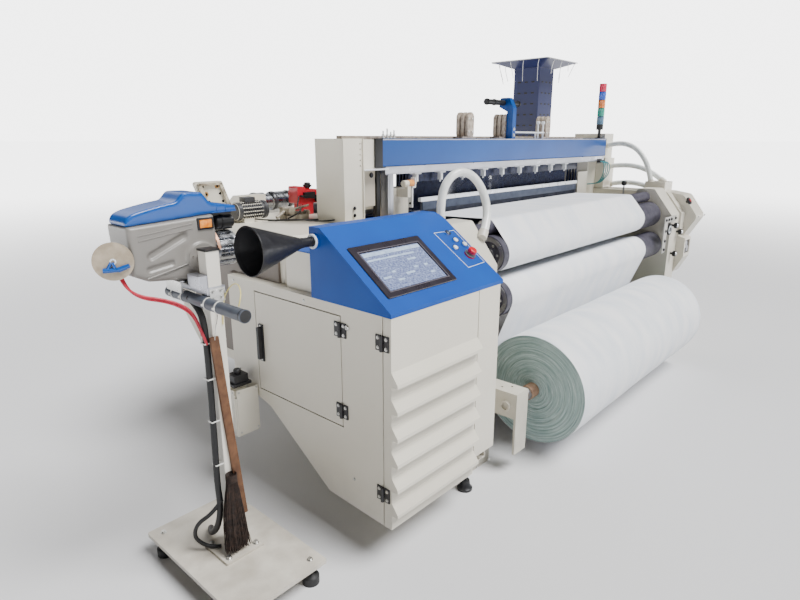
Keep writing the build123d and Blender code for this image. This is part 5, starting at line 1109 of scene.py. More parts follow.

# Funnel: a moulded black cone with a rolled rim and a rubber-sleeved spout that goes into the console through
# a pale grommet.
funnel_black = finish("funnel_black", (0.016, 0.016, 0.019), 0.34)
grain(funnel_black, 0.004, 0.0002)
cloudy(funnel_black, "Roughness", 0.28, 0.5, 0.03)
dress(funnel_black, "funnel")
piece(
    "funnel_grommet", cap_white,
    (
        turned,
        [
            (0.0, 0.019), (0.0, 0.0275), (0.002, 0.0285), (0.006, 0.0285), (0.0085, 0.0260),
            (0.0085, 0.0225), (0.006, 0.0190),
        ],
        (-2.1220, -0.412, 1.230), (-1, 0, 0), 32,
    ),
)
sleeve = bmesh.new()
for fold in range(5):
    start = 0.010 + 0.009 * fold
    turned(
        sleeve,
        [(start, 0.0158), (start + 0.001, 0.0182), (start + 0.005, 0.0182), (start + 0.006, 0.0158)],
        (-2.1220, -0.412, 1.230), (-1, 0, 0), 24,
    )
shaped("funnel_sleeve", sleeve, funnel_black)
rim = bmesh.new()
bmesh.ops.create_circle(rim, segments=10, radius=0.0022, matrix=Matrix.Translation((0, 0.0865, 0)))
bmesh.ops.spin(
    rim,
    geom=rim.verts[:] + rim.edges[:] + rim.faces[:],
    cent=(0, 0, 0),
    axis=(1, 0, 0),
    angle=2 * math.pi,
    steps=64,
    use_merge=True,
)
bmesh.ops.remove_doubles(rim, verts=rim.verts, dist=0.00001)
rim.transform(Matrix.Translation((-2.4020, -0.412, 1.230)))
shaped("funnel_rim", rim, funnel_black)

# Feeder stand: a folded steel plate on screwed rubber feet and a square post bolted down through a
# flange, all in worn cream enamel, with a black cap on the post.
stand_cream = enamel("stand_cream", (0.78, 0.75, 0.67), (0.70, 0.66, 0.57), 0.42, 0.0003)
darkened_near_floor(stand_cream, (0.20, 0.15, 0.10), 0.085, 0.30, 0.75)
dress(stand_cream, "stand_post")
foot_rubber = finish("foot_rubber", (0.016, 0.016, 0.017), 0.6)
grain(foot_rubber, 0.003, 0.0003)
dress(foot_rubber, "stand_feet")
POST_MIDDLE = Vector((-2.520, -0.355, 0))
PLATE_TOP, FLANGE_TOP, POST_TOP = 0.097, 0.107, 1.245
screws(
    "flange_bolts",
    [
        ((POST_MIDDLE.x + x, POST_MIDDLE.y + y, FLANGE_TOP), (0, 0, 1))
        for x in (-0.058, 0.058) for y in (-0.058, 0.058)
    ],
    0.0085, 0.008,
)
screws(
    "plate_foot_nuts",
    [
        ((POST_MIDDLE.x + x, POST_MIDDLE.y + y, PLATE_TOP), (0, 0, 1))
        for x in (-0.145, 0.145) for y in (-0.275, 0.275)
    ],
    0.0080, 0.007,
)
foot_rings = bmesh.new()
for x in (-0.145, 0.145):
    for y in (-0.275, 0.275):
        turned(
            foot_rings,
            [(0.0295, 0.0319), (0.0300, 0.0322), (0.036, 0.028), (0.042, 0.016), (0.046, 0.0095)],
            (POST_MIDDLE.x + x, POST_MIDDLE.y + y, 0), (0, 0, 1), 28,
        )
shaped("foot_domes", foot_rings, foot_rubber)
welds = bmesh.new()
random.seed(5)
for side in range(4):
    way = Matrix.Rotation(math.pi / 2 * side, 3, "Z")
    for bead in range(11):
        spot = way @ Vector((0.0262, -0.024 + 0.0048 * bead, 0)) + POST_MIDDLE
        bmesh.ops.create_icosphere(
            welds,
            subdivisions=1,
            radius=0.0036 + 0.0008 * random.random(),
            matrix=Matrix.Translation((spot.x, spot.y, FLANGE_TOP + 0.0012)),
        )
shaped("post_weld", welds, stand_cream)
piece(
    "post_cap", moulded_black,
    (slab, (-2.5475, -0.3825, POST_TOP - 0.001), (-2.4925, -0.3275, POST_TOP + 0.0065), 0.0022),
)

# Feeder: a painted grey casting under a glossy blue cover, with a slotted steel drum, a black stopper
# on the cover's arm, an orange window, a copper guide strap and a black end cap.
casting_grey = enamel("casting_grey", (0.24, 0.225, 0.205), (0.16, 0.15, 0.137), 0.4, 0.0004)
cover_blue = enamel("cover_blue", (0.0003, 0.080, 0.36), (0.0001, 0.062, 0.30), 0.3, 0.00008)


def softened(node, name, material, cell, passes):
    """A cast or moulded form with its edges rounded over, from the plain solid's own mesh."""
    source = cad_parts[node]
    mesh = source.data.copy()
    mesh.transform(source.matrix_world)
    soft = placed(name, mesh)
    skin = soft.modifiers.new("skin", "REMESH")
    skin.mode = "VOXEL"
    skin.voxel_size = cell
    round_over = soft.modifiers.new("round_over", "SMOOTH")
    round_over.factor = 0.5
    round_over.iterations = passes
    rounded = bpy.data.meshes.new_from_object(soft.evaluated_get(bpy.context.evaluated_depsgraph_get()))
    soft.modifiers.clear()
    soft.data = rounded
    rounded.name = name
    rounded.materials.clear()
    rounded.materials.append(material)
    rounded.polygons.foreach_set("use_smooth", [True] * len(rounded.polygons))
    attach(soft, "root")
    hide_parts(node)


softened("feeder_body", "feeder_casting", casting_grey, 0.0035, 16)
softened("feeder_cover", "feeder_hood", cover_blue, 0.0035, 40)
drum_steel = finish("drum_steel", (0.56, 0.57, 0.60), 0.24, 1.0)
cloudy(drum_steel, "Roughness", 0.18, 0.36, 0.02)
grain(drum_steel, 0.002, 0.0001, (0.05, 1, 1))
dress(drum_steel, "feeder_drum")
dress(moulded_black, "feeder_stopper")
window_orange = mottled(
    "window_orange", (0.90, 0.26, 0.01), (0.82, 0.20, 0.01), (0.95, 0.36, 0.03), 0.22, 0.01
)
copper_band = mottled(
    "copper_band", (0.86, 0.44, 0.26), (0.78, 0.36, 0.20), (0.90, 0.52, 0.34), 0.34, 0.01, metallic=0.35
)
FEEDER_MIDDLE = Vector((0, -0.210, 1.217))
FEEDER_FACE = -0.285

piece(
    "window_frame", moulded_black,
    (slab, (-2.512, FEEDER_FACE - 0.004, 1.302), (-2.452, FEEDER_FACE + 0.010, 1.342), 0.004),
)
piece(
    "feeder_window", window_orange,
    (slab, (-2.505, FEEDER_FACE - 0.0065, 1.309), (-2.461, FEEDER_FACE - 0.003, 1.336), 0.0022),
    (slab, (-2.4775, FEEDER_FACE - 0.0078, 1.309), (-2.4755, FEEDER_FACE - 0.006, 1.336)),
)

strap = bmesh.new()
arc_points = []
for step in range(15):
    angle = math.radians(8 + 78 * step / 14)
    arc_points.append((FEEDER_FACE + 0.075 - 0.088 * math.cos(angle), 1.217 + 0.088 * math.sin(angle)))
for (y_a, z_a), (y_b, z_b) in zip(arc_points, arc_points[1:]):
    inner_a = Vector((y_a, z_a)) + (
        Vector((FEEDER_MIDDLE.y, 1.217)) - Vector((y_a, z_a))
    ).normalized() * 0.003
    inner_b = Vector((y_b, z_b)) + (
        Vector((FEEDER_MIDDLE.y, 1.217)) - Vector((y_b, z_b))
    ).normalized() * 0.003
    ring = [(y_a, z_a), (y_b, z_b), tuple(inner_b), tuple(inner_a)]
    left = [strap.verts.new((-2.4460, y, z)) for y, z in ring]
    right = [strap.verts.new((-2.4360, y, z)) for y, z in ring]
    strap.faces.new(left)
    strap.faces.new(right[::-1])
    for a, b in ((0, 1), (1, 2), (2, 3), (3, 0)):
        strap.faces.new((left[a], right[a], right[b], left[b]))
bmesh.ops.remove_doubles(strap, verts=strap.verts, dist=0.00005)
shaped("guide_strap", strap, copper_band)

# Slots of the drum: dark steel fingers between its ribs, and its front rim
fingers = bmesh.new()
for number in range(28):
    angle = 2 * math.pi * (number + 0.5) / 28
    start = Vector(
        (-2.425, FEEDER_MIDDLE.y + 0.0600 * math.cos(angle), FEEDER_MIDDLE.z + 0.0600 * math.sin(angle))
    )
    bar(fingers, start, start + Vector((0.068, 0, 0)), 0.0022, 8)
shaped("drum_fingers", fingers, drum_steel)
piece(
    "drum_face", drum_steel,
    (
        turned,
        [
            (0, 0), (0, 0.026), (0.0015, 0.028), (0.0015, 0.050), (-0.002, 0.052), (-0.002, 0.0605),
            (0.0012, 0.0620),
            (0.0012, 0.0632), (-0.008, 0.0638),
        ],
        (-2.3515, FEEDER_MIDDLE.y, FEEDER_MIDDLE.z), (1, 0, 0), 48,
    ),
)

# Flank details of the casting: cast ribs in the swept recess, a round boss cover and an end cap
ribs = bmesh.new()
for number in range(3):
    low = Vector((-2.700 + 0.030 * number, FEEDER_FACE - 0.0006, 1.166 + 0.004 * number))
    bar(ribs, low, low + Vector((0.160 - 0.020 * number, 0, 0.030)), 0.0032, 10)
for number in range(2):
    low = Vector((-2.715, FEEDER_FACE - 0.0002, 1.305 - 0.016 * number))
    bar(ribs, low, low + Vector((0.185, 0, 0.022)), 0.0020, 8)
shaped("casting_ribs", ribs, casting_grey)
piece(
    "boss_cover", casting_grey,
    (
        turned,
        [
            (0, 0), (0.0, 0.044), (0.0, 0.048), (0.003, 0.050), (0.0035, 0.045), (0.0035, 0.012),
            (0.006, 0.010), (0.006, 0),
        ],
        (-2.507, -0.2935, 1.209), (0, -1, 0), 40,
    ),
)
screws(
    "boss_screws",
    [
        ((-2.507 + 0.038 * math.cos(a), -0.2965, 1.209 + 0.038 * math.sin(a)), (0, -1, 0))
        for a in (0.8, 2.9, 5.0)
    ],
    0.0028, 0.0018, bright_zinc, "root", 10,
)
piece(
    "feeder_end_cap", moulded_black,
    (
        turned,
        [
            (0, 0), (0, 0.016), (0.002, 0.018), (0.002, 0.030), (-0.002, 0.036), (-0.010, 0.0415),
            (-0.016, 0.0425), (-0.018, 0.0425),
        ],
        (-2.7590, FEEDER_MIDDLE.y, FEEDER_MIDDLE.z), (-1, 0, 0), 40,
    ),
)

# Cover trim: a shallow step along its lower edge, and the yarn clip on its arm
piece(
    "cover_trim", cover_blue,
    (slab, (-2.448, -0.2745, 1.3535), (-2.352, -0.1455, 1.3575), 0.0012),
    (slab, (-2.430, -0.2758, 1.3600), (-2.420, -0.2735, 1.3720), 0.0008),
    (slab, (-2.395, -0.2758, 1.3590), (-2.387, -0.2735, 1.3690), 0.0008),
)
piece(
    "stopper_barrel", moulded_black,
    (
        turned,
        [
            (0, 0), (0, 0.020), (0.003, 0.023), (0.020, 0.023), (0.022, 0.0255), (0.030, 0.0255),
            (0.032, 0.022), (0.068, 0.022),
            (0.070, 0.019), (0.070, 0),
        ],
        (-2.421, -0.236, 1.316), (1, 0, 0), 28,
    ),
)

# Clamp, tube and brackets under the feeder: zinc-plated strip, grey plastic tube with a black end cap
# and pale plastic ties.
dress(rolled_aluminium, "feeder_clamp")
tube_grey = mottled(
    "tube_grey", (0.052, 0.062, 0.082), (0.044, 0.052, 0.070), (0.075, 0.088, 0.112), 0.42, 0.05
)
grain(tube_grey, 0.002, 0.0001, (1, 0.05, 1))
dress(tube_grey, "pvc_tube")
tube_cap = bmesh.new()
turned(
    tube_cap,
    [(0.0005, 0), (0.0, 0.0180), (0.0012, 0.0208), (0.014, 0.0210), (0.014, 0.0202)],
    (-2.565, -0.6205, 1.0797), (0, 1, 0), 32,
)
for vertex in tube_cap.verts:
    vertex.co.z = max(vertex.co.z, 1.0587)
shaped("tube_cap", tube_cap, moulded_black)
tie_white = mottled("tie_white", (0.78, 0.78, 0.74), (0.70, 0.70, 0.66), (0.84, 0.84, 0.80), 0.45, 0.01)
ties = bmesh.new()
for tie_y in (-0.196, -0.262, -0.412, -0.478):
    turned(
        ties,
        [(0, 0.0200), (0, 0.0216), (0.005, 0.0216), (0.005, 0.0200)],
        (-2.565, tie_y, 1.0797), (0, 1, 0), 28,
    )
    slab(ties, (-2.592, tie_y - 0.001, 1.0770), (-2.584, tie_y + 0.006, 1.0840), 0.001)
shaped("tube_ties", ties, tie_white)
piece(
    "clamp_plates", bright_zinc,
    (slab, (-2.600, -0.300, 1.102), (-2.592, -0.200, 1.140), 0.001),
    (slab, (-2.5475, -0.392, 1.075), (-2.4925, -0.380, 1.122), 0.001),
    (slab, (-2.575, -0.330, 1.1252), (-2.505, -0.262, 1.1300), 0.001),
)
screws(
    "clamp_bolts",
    [((-2.535 + x, -0.392, 1.098 + z), (0, -1, 0)) for x in (0.0, 0.030) for z in (-0.012, 0.012)]
    + [((-2.540, y, 1.130), (0, 0, 1)) for y in (-0.310, -0.280)],
    0.0055, 0.005,
)

# Rollers: steel tubes with a dark ribbed rubber covering for grip, on journals in the side frames,
# with a turned end plate on each.
grip_rubber = mottled(
    "grip_rubber", (0.050, 0.046, 0.066), (0.036, 0.034, 0.050), (0.075, 0.070, 0.096), 0.5, 0.04
)
grain(grip_rubber, 0.0016, 0.0006)
dress(grip_rubber, "breast_roller", "take_up_roller", "press_roller")
turned_steel = finish("turned_steel", (0.46, 0.46, 0.48), 0.28, 1.0)
grain(turned_steel, 0.002, 0.0001, (0.05, 1, 1))
cloudy(turned_steel, "Roughness", 0.22, 0.42, 0.08)
sley_dark = mottled(
    "sley_dark", (0.060, 0.066, 0.090), (0.045, 0.050, 0.072), (0.085, 0.092, 0.120), 0.4, 0.06, metallic=0.5
)
dress(sley_dark, "sley")
dress(turned_steel, "warp_beam", "guide_rollers")
ROLLERS = {
    "breast_roller": (-0.430, 1.163, 0.039),
    "take_up_roller": (-0.470, 1.030, 0.095),
    "press_roller": (-0.500, 0.800, 0.097),
}
for roller, (y, z, radius) in ROLLERS.items():
    end_plates = bmesh.new()
    for x, way in ((-1.030, -1), (1.190, 1)):
        turned(
            end_plates,
            [
                (-0.002, radius * 0.94), (0.0015, radius * 0.93), (0.0015, radius * 0.72),
                (-0.001, radius * 0.68),
                (-0.001, 0.032), (0.006, 0.030), (0.006, 0.0222),
            ],
            (x, y, z), (way, 0, 0), 40,
        )
    shaped(roller + "_ends", end_plates, turned_steel, roller)
    if radius > 0.05:
        spots = []
        for x, way in ((-1.031, -1), (1.191, 1)):
            for number in range(6):
                angle = math.pi / 3 * number
                spots.append(
                    (
                        (x, y + radius * 0.55 * math.cos(angle), z + radius * 0.55 * math.sin(angle)),
                        (way, 0, 0),
                    )
                )
        screws(roller + "_end_screws", spots, 0.005, 0.004, bright_zinc, roller)

# Cloth: a white plain weave, one sheet from the reed over the breast roller, round the take-up, nip
# and press rollers and down to the roll. It is stretched, with faint creases along its length.
CLOTH_LEFT, CLOTH_RIGHT = -0.985, 0.852
CLOTH_BARS = [
    (-0.015, 1.190, 0.0), (-0.430, 1.163, 0.0400), (-0.470, 1.030, 0.0960), (-0.330, 0.912, -0.0430),
    (-0.500, 0.800, 0.0980), (-0.742, 0.350, -0.2910),
]


def sheet_path(bars, arc_step):
    """Points of a sheet's middle line over round bars, which it turns left or right."""
    runs = []
    for (y_a, z_a, r_a), (y_b, z_b, r_b) in zip(bars, bars[1:]):
        turn = math.atan2(z_b - z_a, y_b - y_a) + math.acos((r_b - r_a) / math.hypot(y_b - y_a, z_b - z_a))
        runs.append(
            (
                (y_a - r_a * math.cos(turn), z_a - r_a * math.sin(turn)),
                (y_b - r_b * math.cos(turn), z_b - r_b * math.sin(turn)),
            )
        )
    points = []
    for number, (leave, arrive) in enumerate(runs):
        steps = max(2, round(math.dist(leave, arrive) / 0.03))
        points += [
            (leave[0] + (arrive[0] - leave[0]) * i / steps, leave[1] + (arrive[1] - leave[1]) * i / steps)
            for i in range(steps + (number == len(runs) - 1))
        ]
        if number + 1 < len(runs):
            y, z, radius = bars[number + 1]
            first = math.atan2(arrive[1] - z, arrive[0] - y)
            last = math.atan2(runs[number + 1][0][1] - z, runs[number + 1][0][0] - y)
            sweep = (last - first) % (2 * math.pi) if radius > 0 else -((first - last) % (2 * math.pi))
            steps = max(2, round(abs(sweep * radius) / arc_step))
            points += [
                (
                    y + abs(radius) * math.cos(first + sweep * i / steps),
                    z + abs(radius) * math.sin(first + sweep * i / steps),
                )
                for i in range(steps)
            ]
    return points


def woven(name, colour, shade, pitch):
    """Plain weave: crossing threads on the sheet's own map, under faint long creases whose hollows are
    darkened with painted shade.
    """
    cloth_finish = finish(name, colour, 0.82)
    tree = cloth_finish.node_tree
    shader = tree.nodes["Principled BSDF"]
    shader.inputs["Sheen Weight"].default_value = 0.15
    weave_map = node(tree, "ShaderNodeUVMap")
    weave_map.uv_map = "weave"
    bumps = None
    for axis in ("X", "Y"):
        threads = node(tree, "ShaderNodeTexWave", Scale=0.314 / pitch, Distortion=0.6)
        threads.bands_direction = axis
        link(weave_map, "UV", threads, "Vector")
        bump = node(tree, "ShaderNodeBump", Strength=0.35, Distance=0.0004)
        link(threads, "Fac", bump, "Height")
        if bumps:
            link(bumps, "Normal", bump, "Normal")
        bumps = bump
    creases = node(tree, "ShaderNodeTexNoise", Scale=9, Detail=7)
    stretch = node(tree, "ShaderNodeMapping", Scale=(1.0, 0.35, 1.0))
    link(weave_map, "UV", stretch, "Vector")
    link(stretch, "Vector", creases, "Vector")
    crease_bump = node(tree, "ShaderNodeBump", Strength=0.5, Distance=0.004)
    link(creases, "Fac", crease_bump, "Height")
    link(bumps, "Normal", crease_bump, "Normal")
    link(crease_bump, "Normal", shader, "Normal")
    # Painted shade: the base colour follows the creases' noise, darker in their hollows
    crease_shading = node(tree, "ShaderNodeValToRGB")
    crease_shading.color_ramp.elements[0].position = 0.36
    crease_shading.color_ramp.elements[1].position = 0.62
    crease_shading.color_ramp.elements[0].color = (*shade, 1)
    crease_shading.color_ramp.elements[1].color = (*colour, 1)
    link(creases, "Fac", crease_shading, "Fac")
    link(crease_shading, "Color", shader, "Base Color")
    return cloth_finish


def sheet_mesh(path, left, right, columns, thickness, lift, edge_wave=0.0):
    """A closed thin sheet along a path, with a slight lift of creases between its ends."""
    bm = bmesh.new()
    layer = bm.loops.layers.uv.new("weave")
    lengths = [0.0]
    for a, b in zip(path, path[1:]):
        lengths.append(lengths[-1] + math.dist(a, b))
    grids = []
    for side in (1, -1):
        grid = []
        for row, (y, z) in enumerate(path):
            before, after = path[max(row - 1, 0)], path[min(row + 1, len(path) - 1)]
            way = Vector((after[0] - before[0], after[1] - before[1])).normalized()
            out = Vector((-way.y, way.x))
            line = []
            for column in range(columns + 1):
                share = column / columns
                edge = 1 if column in (0, columns) else 0
                x = left + (right - left) * share + edge * edge_wave * math.sin(31 * lengths[row] + share * 5)
                crease = lift * (
                    math.sin(57 * share + 2.1 * lengths[row]) * math.sin(13 * lengths[row] + 4 * share)
                    + 0.5 * math.sin(143 * share - 5 * lengths[row])
                )
                shift = side * thickness / 2 + crease
                line.append(bm.verts.new((x, y + out.x * shift, z + out.y * shift)))
            grid.append(line)
        grids.append(grid)
    rows = len(path) - 1

    def quad(corners, marks):
        face = bm.faces.new(corners)
        for loop, (row, column) in zip(face.loops, marks):
            loop[layer].uv = (column / columns * (right - left), lengths[row])

    for row in range(rows):
        for column in range(columns):
            marks = [(row, column), (row, column + 1), (row + 1, column + 1), (row + 1, column)]
            quad([grids[0][r][c] for r, c in marks], marks)
            quad([grids[1][r][c] for r, c in marks[::-1]], marks[::-1])
        for column in (0, columns):
            around = ((0, row), (0, row + 1), (1, row + 1), (1, row))
            quad([grids[face][r][column] for face, r in around], [(r, column) for face, r in around])
    for row in (0, rows):
        for column in range(columns):
            around = ((0, column), (0, column + 1), (1, column + 1), (1, column))
            quad([grids[face][row][c] for face, c in around], [(row, c) for face, c in around])
    return bm, lengths[-1]


cloth_white = woven("cloth_white", (0.90, 0.905, 0.92), (0.79, 0.82, 0.87), 0.0016)
cloth_mesh, cloth_length = sheet_mesh(
    sheet_path(CLOTH_BARS, 0.010), CLOTH_LEFT, CLOTH_RIGHT, 150, 0.0010, 0.00012
)
cloth_sheet = shaped("cloth_sheet", cloth_mesh, cloth_white)
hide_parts("cloth")

# Cloth roll: the woven cloth wound on a tube with a brown paper sleeve. Its ends show the layers'
# edges as rings that don't quite line up, and its outside is slightly uneven across its width.
ROLL_Y, ROLL_Z, ROLL_R, CORE_R = -0.742, 0.350, 0.290, 0.038
roll_white = woven("roll_white", (0.90, 0.91, 0.925), (0.76, 0.80, 0.85), 0.0016)
# Roll ends: ring colours from the noise that also sets the bump, with painted shade darkest where it sinks
# between the layers
layer_edges = finish("layer_edges", (0.42, 0.52, 0.50), 0.85)
tree = layer_edges.node_tree
edge_map = node(tree, "ShaderNodeUVMap")
edge_map.uv_map = "weave"
edge_noise = node(tree, "ShaderNodeTexNoise", Scale=1.0, Detail=9, Roughness=0.75)
edge_stretch = node(tree, "ShaderNodeMapping", Scale=(1.2, 150, 1))
edge_tone_and_gap_shade = node(tree, "ShaderNodeValToRGB")
edge_tone_and_gap_shade.color_ramp.elements[0].position = 0.34
edge_tone_and_gap_shade.color_ramp.elements[1].position = 0.70
edge_tone_and_gap_shade.color_ramp.elements[0].color = (0.17, 0.27, 0.27, 1)
edge_tone_and_gap_shade.color_ramp.elements[1].color = (0.74, 0.81, 0.80, 1)
edge_mid = edge_tone_and_gap_shade.color_ramp.elements.new(0.52)
edge_mid.color = (0.40, 0.53, 0.51, 1)
edge_bump = node(tree, "ShaderNodeBump", Strength=0.8, Distance=0.003)
link(edge_map, "UV", edge_stretch, "Vector")
link(edge_stretch, "Vector", edge_noise, "Vector")
link(edge_noise, "Fac", edge_tone_and_gap_shade, "Fac")
link(edge_tone_and_gap_shade, "Color", tree.nodes["Principled BSDF"], "Base Color")
link(edge_noise, "Fac", edge_bump, "Height")
link(edge_bump, "Normal", tree.nodes["Principled BSDF"], "Normal")


def wound_roll(name, left, right, radius, core, y, z, rings, sway):
    """A wound roll: a slightly uneven skin and two ends of stepped layers, round a core."""
    random.seed(len(name))
    bm = bmesh.new()
    layer = bm.loops.layers.uv.new("weave")
    around = 96
    steps = [random.uniform(-1, 1) for ring in range(rings)]
    profile = []
    for ring in range(rings):
        r = core + (radius - 0.004 - core) * ring / (rings - 1)
        profile.append((left + 0.003 + sway * steps[ring], r, 1))
    skin = 40
    for column in range(skin + 1):
        share = column / skin
        bulge = 0.0012 * math.sin(7 * share + 1) + 0.0007 * math.sin(23 * share)
        profile.append(
            (
                left + (right - left) * share,
                radius - 0.0022 + bulge - (0.0015 if column in (0, skin) else 0),
                0,
            )
        )
    for ring in reversed(range(rings)):
        r = core + (radius - 0.004 - core) * ring / (rings - 1)
        profile.append((right - 0.003 - sway * steps[ring], r, 1))
    loops = []
    for x, r, _ in profile:
        loops.append(
            [
                bm.verts.new((x, y + r * math.cos(a), z + r * math.sin(a)))
                for a in (2 * math.pi * side / around for side in range(around))
            ]
        )
    for number in range(len(profile)):
        after = (number + 1) % len(profile)
        (x_a, r_a, kind_a), (x_b, r_b, kind_b) = profile[number], profile[after]
        is_edge = kind_a and kind_b
        for side in range(around):
            beside = (side + 1) % around
            face = bm.faces.new(
                (loops[number][side], loops[after][side], loops[after][beside], loops[number][beside])
            )
            face.material_index = 1 if is_edge else 0
            for loop, (turn, end) in zip(face.loops, ((side, 0), (side, 1), (side + 1, 1), (side + 1, 0))):
                angle = 2 * math.pi * turn / around
                if is_edge:
                    loop[layer].uv = (angle, (r_b if end else r_a) + 0.0008 * angle)
                else:
                    loop[layer].uv = ((x_b if end else x_a), angle * radius)
    bmesh.ops.recalc_face_normals(bm, faces=bm.faces)
    return bm


roll_mesh = wound_roll(
    "cloth_roll", CLOTH_LEFT, CLOTH_RIGHT, ROLL_R, CORE_R, ROLL_Y, ROLL_Z, 46, 0.0022
)
wound_cloth = shaped("wound_cloth", roll_mesh, roll_white, "cloth_roll", smooth=30)
wound_cloth.data.materials.append(layer_edges)
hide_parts("cloth_roll")
core_brown = mottled("core_brown", (0.30, 0.17, 0.10), (0.20, 0.11, 0.07), (0.38, 0.24, 0.15), 0.55, 0.03)
dress(core_brown, "roll_core")
core_plug = bmesh.new()
for x, way in ((-1.045, -1), (0.912, 1)):
    turned(
        core_plug,
        [(0.0, 0.034), (0.002, 0.034), (0.002, 0.026), (0.010, 0.024), (0.010, 0.0185)],
        (x, ROLL_Y, ROLL_Z), (way, 0, 0), 32,
    )
shaped("core_plugs", core_plug, turned_steel, "cloth_roll")

# Warp: white threads side by side, from the beam over the back rest to the reed, and the threads
# wound between the beam's flanges.
warp_threads = finish("warp_threads", (0.84, 0.845, 0.86), 0.7)
tree = warp_threads.node_tree
warp_map = node(tree, "ShaderNodeUVMap")
warp_map.uv_map = "weave"
thread_rows = node(tree, "ShaderNodeTexWave", Scale=0.314 / 0.003)
thread_rows.bands_direction = "X"
# Painted shade: the colour darkens between the threads, where the bump sinks
thread_gap_shading = node(tree, "ShaderNodeValToRGB")
thread_gap_shading.color_ramp.elements[0].color = (0.45, 0.47, 0.52, 1)
thread_gap_shading.color_ramp.elements[1].color = (0.90, 0.90, 0.91, 1)
thread_bump = node(tree, "ShaderNodeBump", Distance=0.0008)
link(warp_map, "UV", thread_rows, "Vector")
link(thread_rows, "Fac", thread_gap_shading, "Fac")
link(thread_gap_shading, "Color", tree.nodes["Principled BSDF"], "Base Color")
link(thread_rows, "Fac", thread_bump, "Height")
link(thread_bump, "Normal", tree.nodes["Principled BSDF"], "Normal")
WARP_BARS = [(0.0103, 1.192, 0.0), (0.930, 1.180, -0.0630), (0.900, 0.560, -0.3310)]
warp_mesh, warp_length = sheet_mesh(
    sheet_path(WARP_BARS, 0.012), CLOTH_LEFT + 0.015, CLOTH_RIGHT - 0.015, 110, 0.0010, 0.00006
)
warp_threads_sheet = shaped("warp_threads_sheet", warp_mesh, warp_threads)
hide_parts("warp_sheet")
warp_roll = wound_roll(
    "wound_threads", CLOTH_LEFT, CLOTH_RIGHT, 0.330, 0.080, 0.900, 0.560, 12, 0.0
)
wound_threads = shaped("wound_threads", warp_roll, warp_threads, "root", smooth=30)
wound_threads.data.materials.append(warp_threads)
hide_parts("wound_warp")

# Healds: thin steel wires with an eye in the middle, in four frames with dark blue rails and stiles
heald_navy = mottled(
    "heald_navy", (0.010, 0.013, 0.038), (0.005, 0.007, 0.022), (0.022, 0.030, 0.080),
    0.35, 0.02, metallic=0.5,
)
ROW_SOCKETS = (
    ("Line", "Geometry"), ("Wires", "Int"), ("Pitch", "Float"), ("Length", "Float"),
    ("Half Width", "Float"), ("Steel", "Material"),
)
row_recipe, row_in, row_out = new_recipe("heald_row_recipe", ROW_SOCKETS, "Row")
pitch_way = node(row_recipe, "ShaderNodeCombineXYZ")
wire_line = node(row_recipe, "GeometryNodeMeshLine")
wire_shape = node(row_recipe, "GeometryNodeMeshCylinder", Vertices=4)
eye_shape = node(row_recipe, "GeometryNodeMeshUVSphere", Segments=6, Rings=4, Radius=1.0)
eye_size = node(row_recipe, "GeometryNodeTransform", Scale=(0.0015, 0.0010, 0.0070))
wire_parts = node(row_recipe, "GeometryNodeJoinGeometry")
first_row = node(row_recipe, "GeometryNodeInstanceOnPoints")
wire_rows = node(row_recipe, "GeometryNodeInstanceOnPoints")
real_row = node(row_recipe, "GeometryNodeRealizeInstances")
steel_row = node(row_recipe, "GeometryNodeSetMaterial")
for wiring in (
    (row_in, "Pitch", pitch_way, "X"), (row_in, "Wires", wire_line, "Count"),
    (pitch_way, 0, wire_line, "Offset"), (row_in, "Length", wire_shape, "Depth"),
    (row_in, "Half Width", wire_shape, "Radius"), (eye_shape, "Mesh", eye_size, "Geometry"),
    (wire_shape, "Mesh", wire_parts, 0), (eye_size, 0, wire_parts, 0),
    (wire_line, "Mesh", first_row, "Points"), (wire_parts, 0, first_row, "Instance"),
    (row_in, "Line", wire_rows, "Points"), (first_row, 0, wire_rows, "Instance"),
    (wire_rows, 0, real_row, "Geometry"), (real_row, 0, steel_row, "Geometry"),
    (row_in, "Steel", steel_row, "Material"), (steel_row, 0, row_out, "Row"),
):
    link(*wiring)

RAIL_LOW, RAIL_HIGH, RAIL_HEIGHT = 0.900, 1.420, 0.055
wire_starts = bpy.data.meshes.new("heald_wires")
wire_starts.from_pydata(
    [(CLOTH_LEFT + 0.0012 * number, 0.086 + 0.024 * number, 1.160) for number in range(4)], [], []
)
heald_wires = placed("heald_wires", wire_starts)
made_by_recipe(
    heald_wires, row_recipe,
    {"Wires": 366, "Pitch": 0.005, "Length": 0.415, "Half Width": 0.0014, "Steel": heald_navy},
    "root",
)
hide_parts("upper_heald_frames", "lower_heald_frames")
heald_rails = bmesh.new()
for number in range(4):
    rail_y = 0.080 + 0.024 * number
    for rail_z in (RAIL_LOW, RAIL_HIGH - RAIL_HEIGHT):
        slab(
            heald_rails, (-1.038, rail_y + 0.0005, rail_z),
            (1.038, rail_y + 0.0115, rail_z + RAIL_HEIGHT),
            0.003,
        )
    for stile_x in (-1.040, 1.022):
        slab(
            heald_rails, (stile_x, rail_y + 0.0005, RAIL_LOW + 0.002),
            (stile_x + 0.018, rail_y + 0.0115, RAIL_HIGH - 0.002),
            0.003,
        )
shaped("heald_rails", heald_rails, heald_navy)

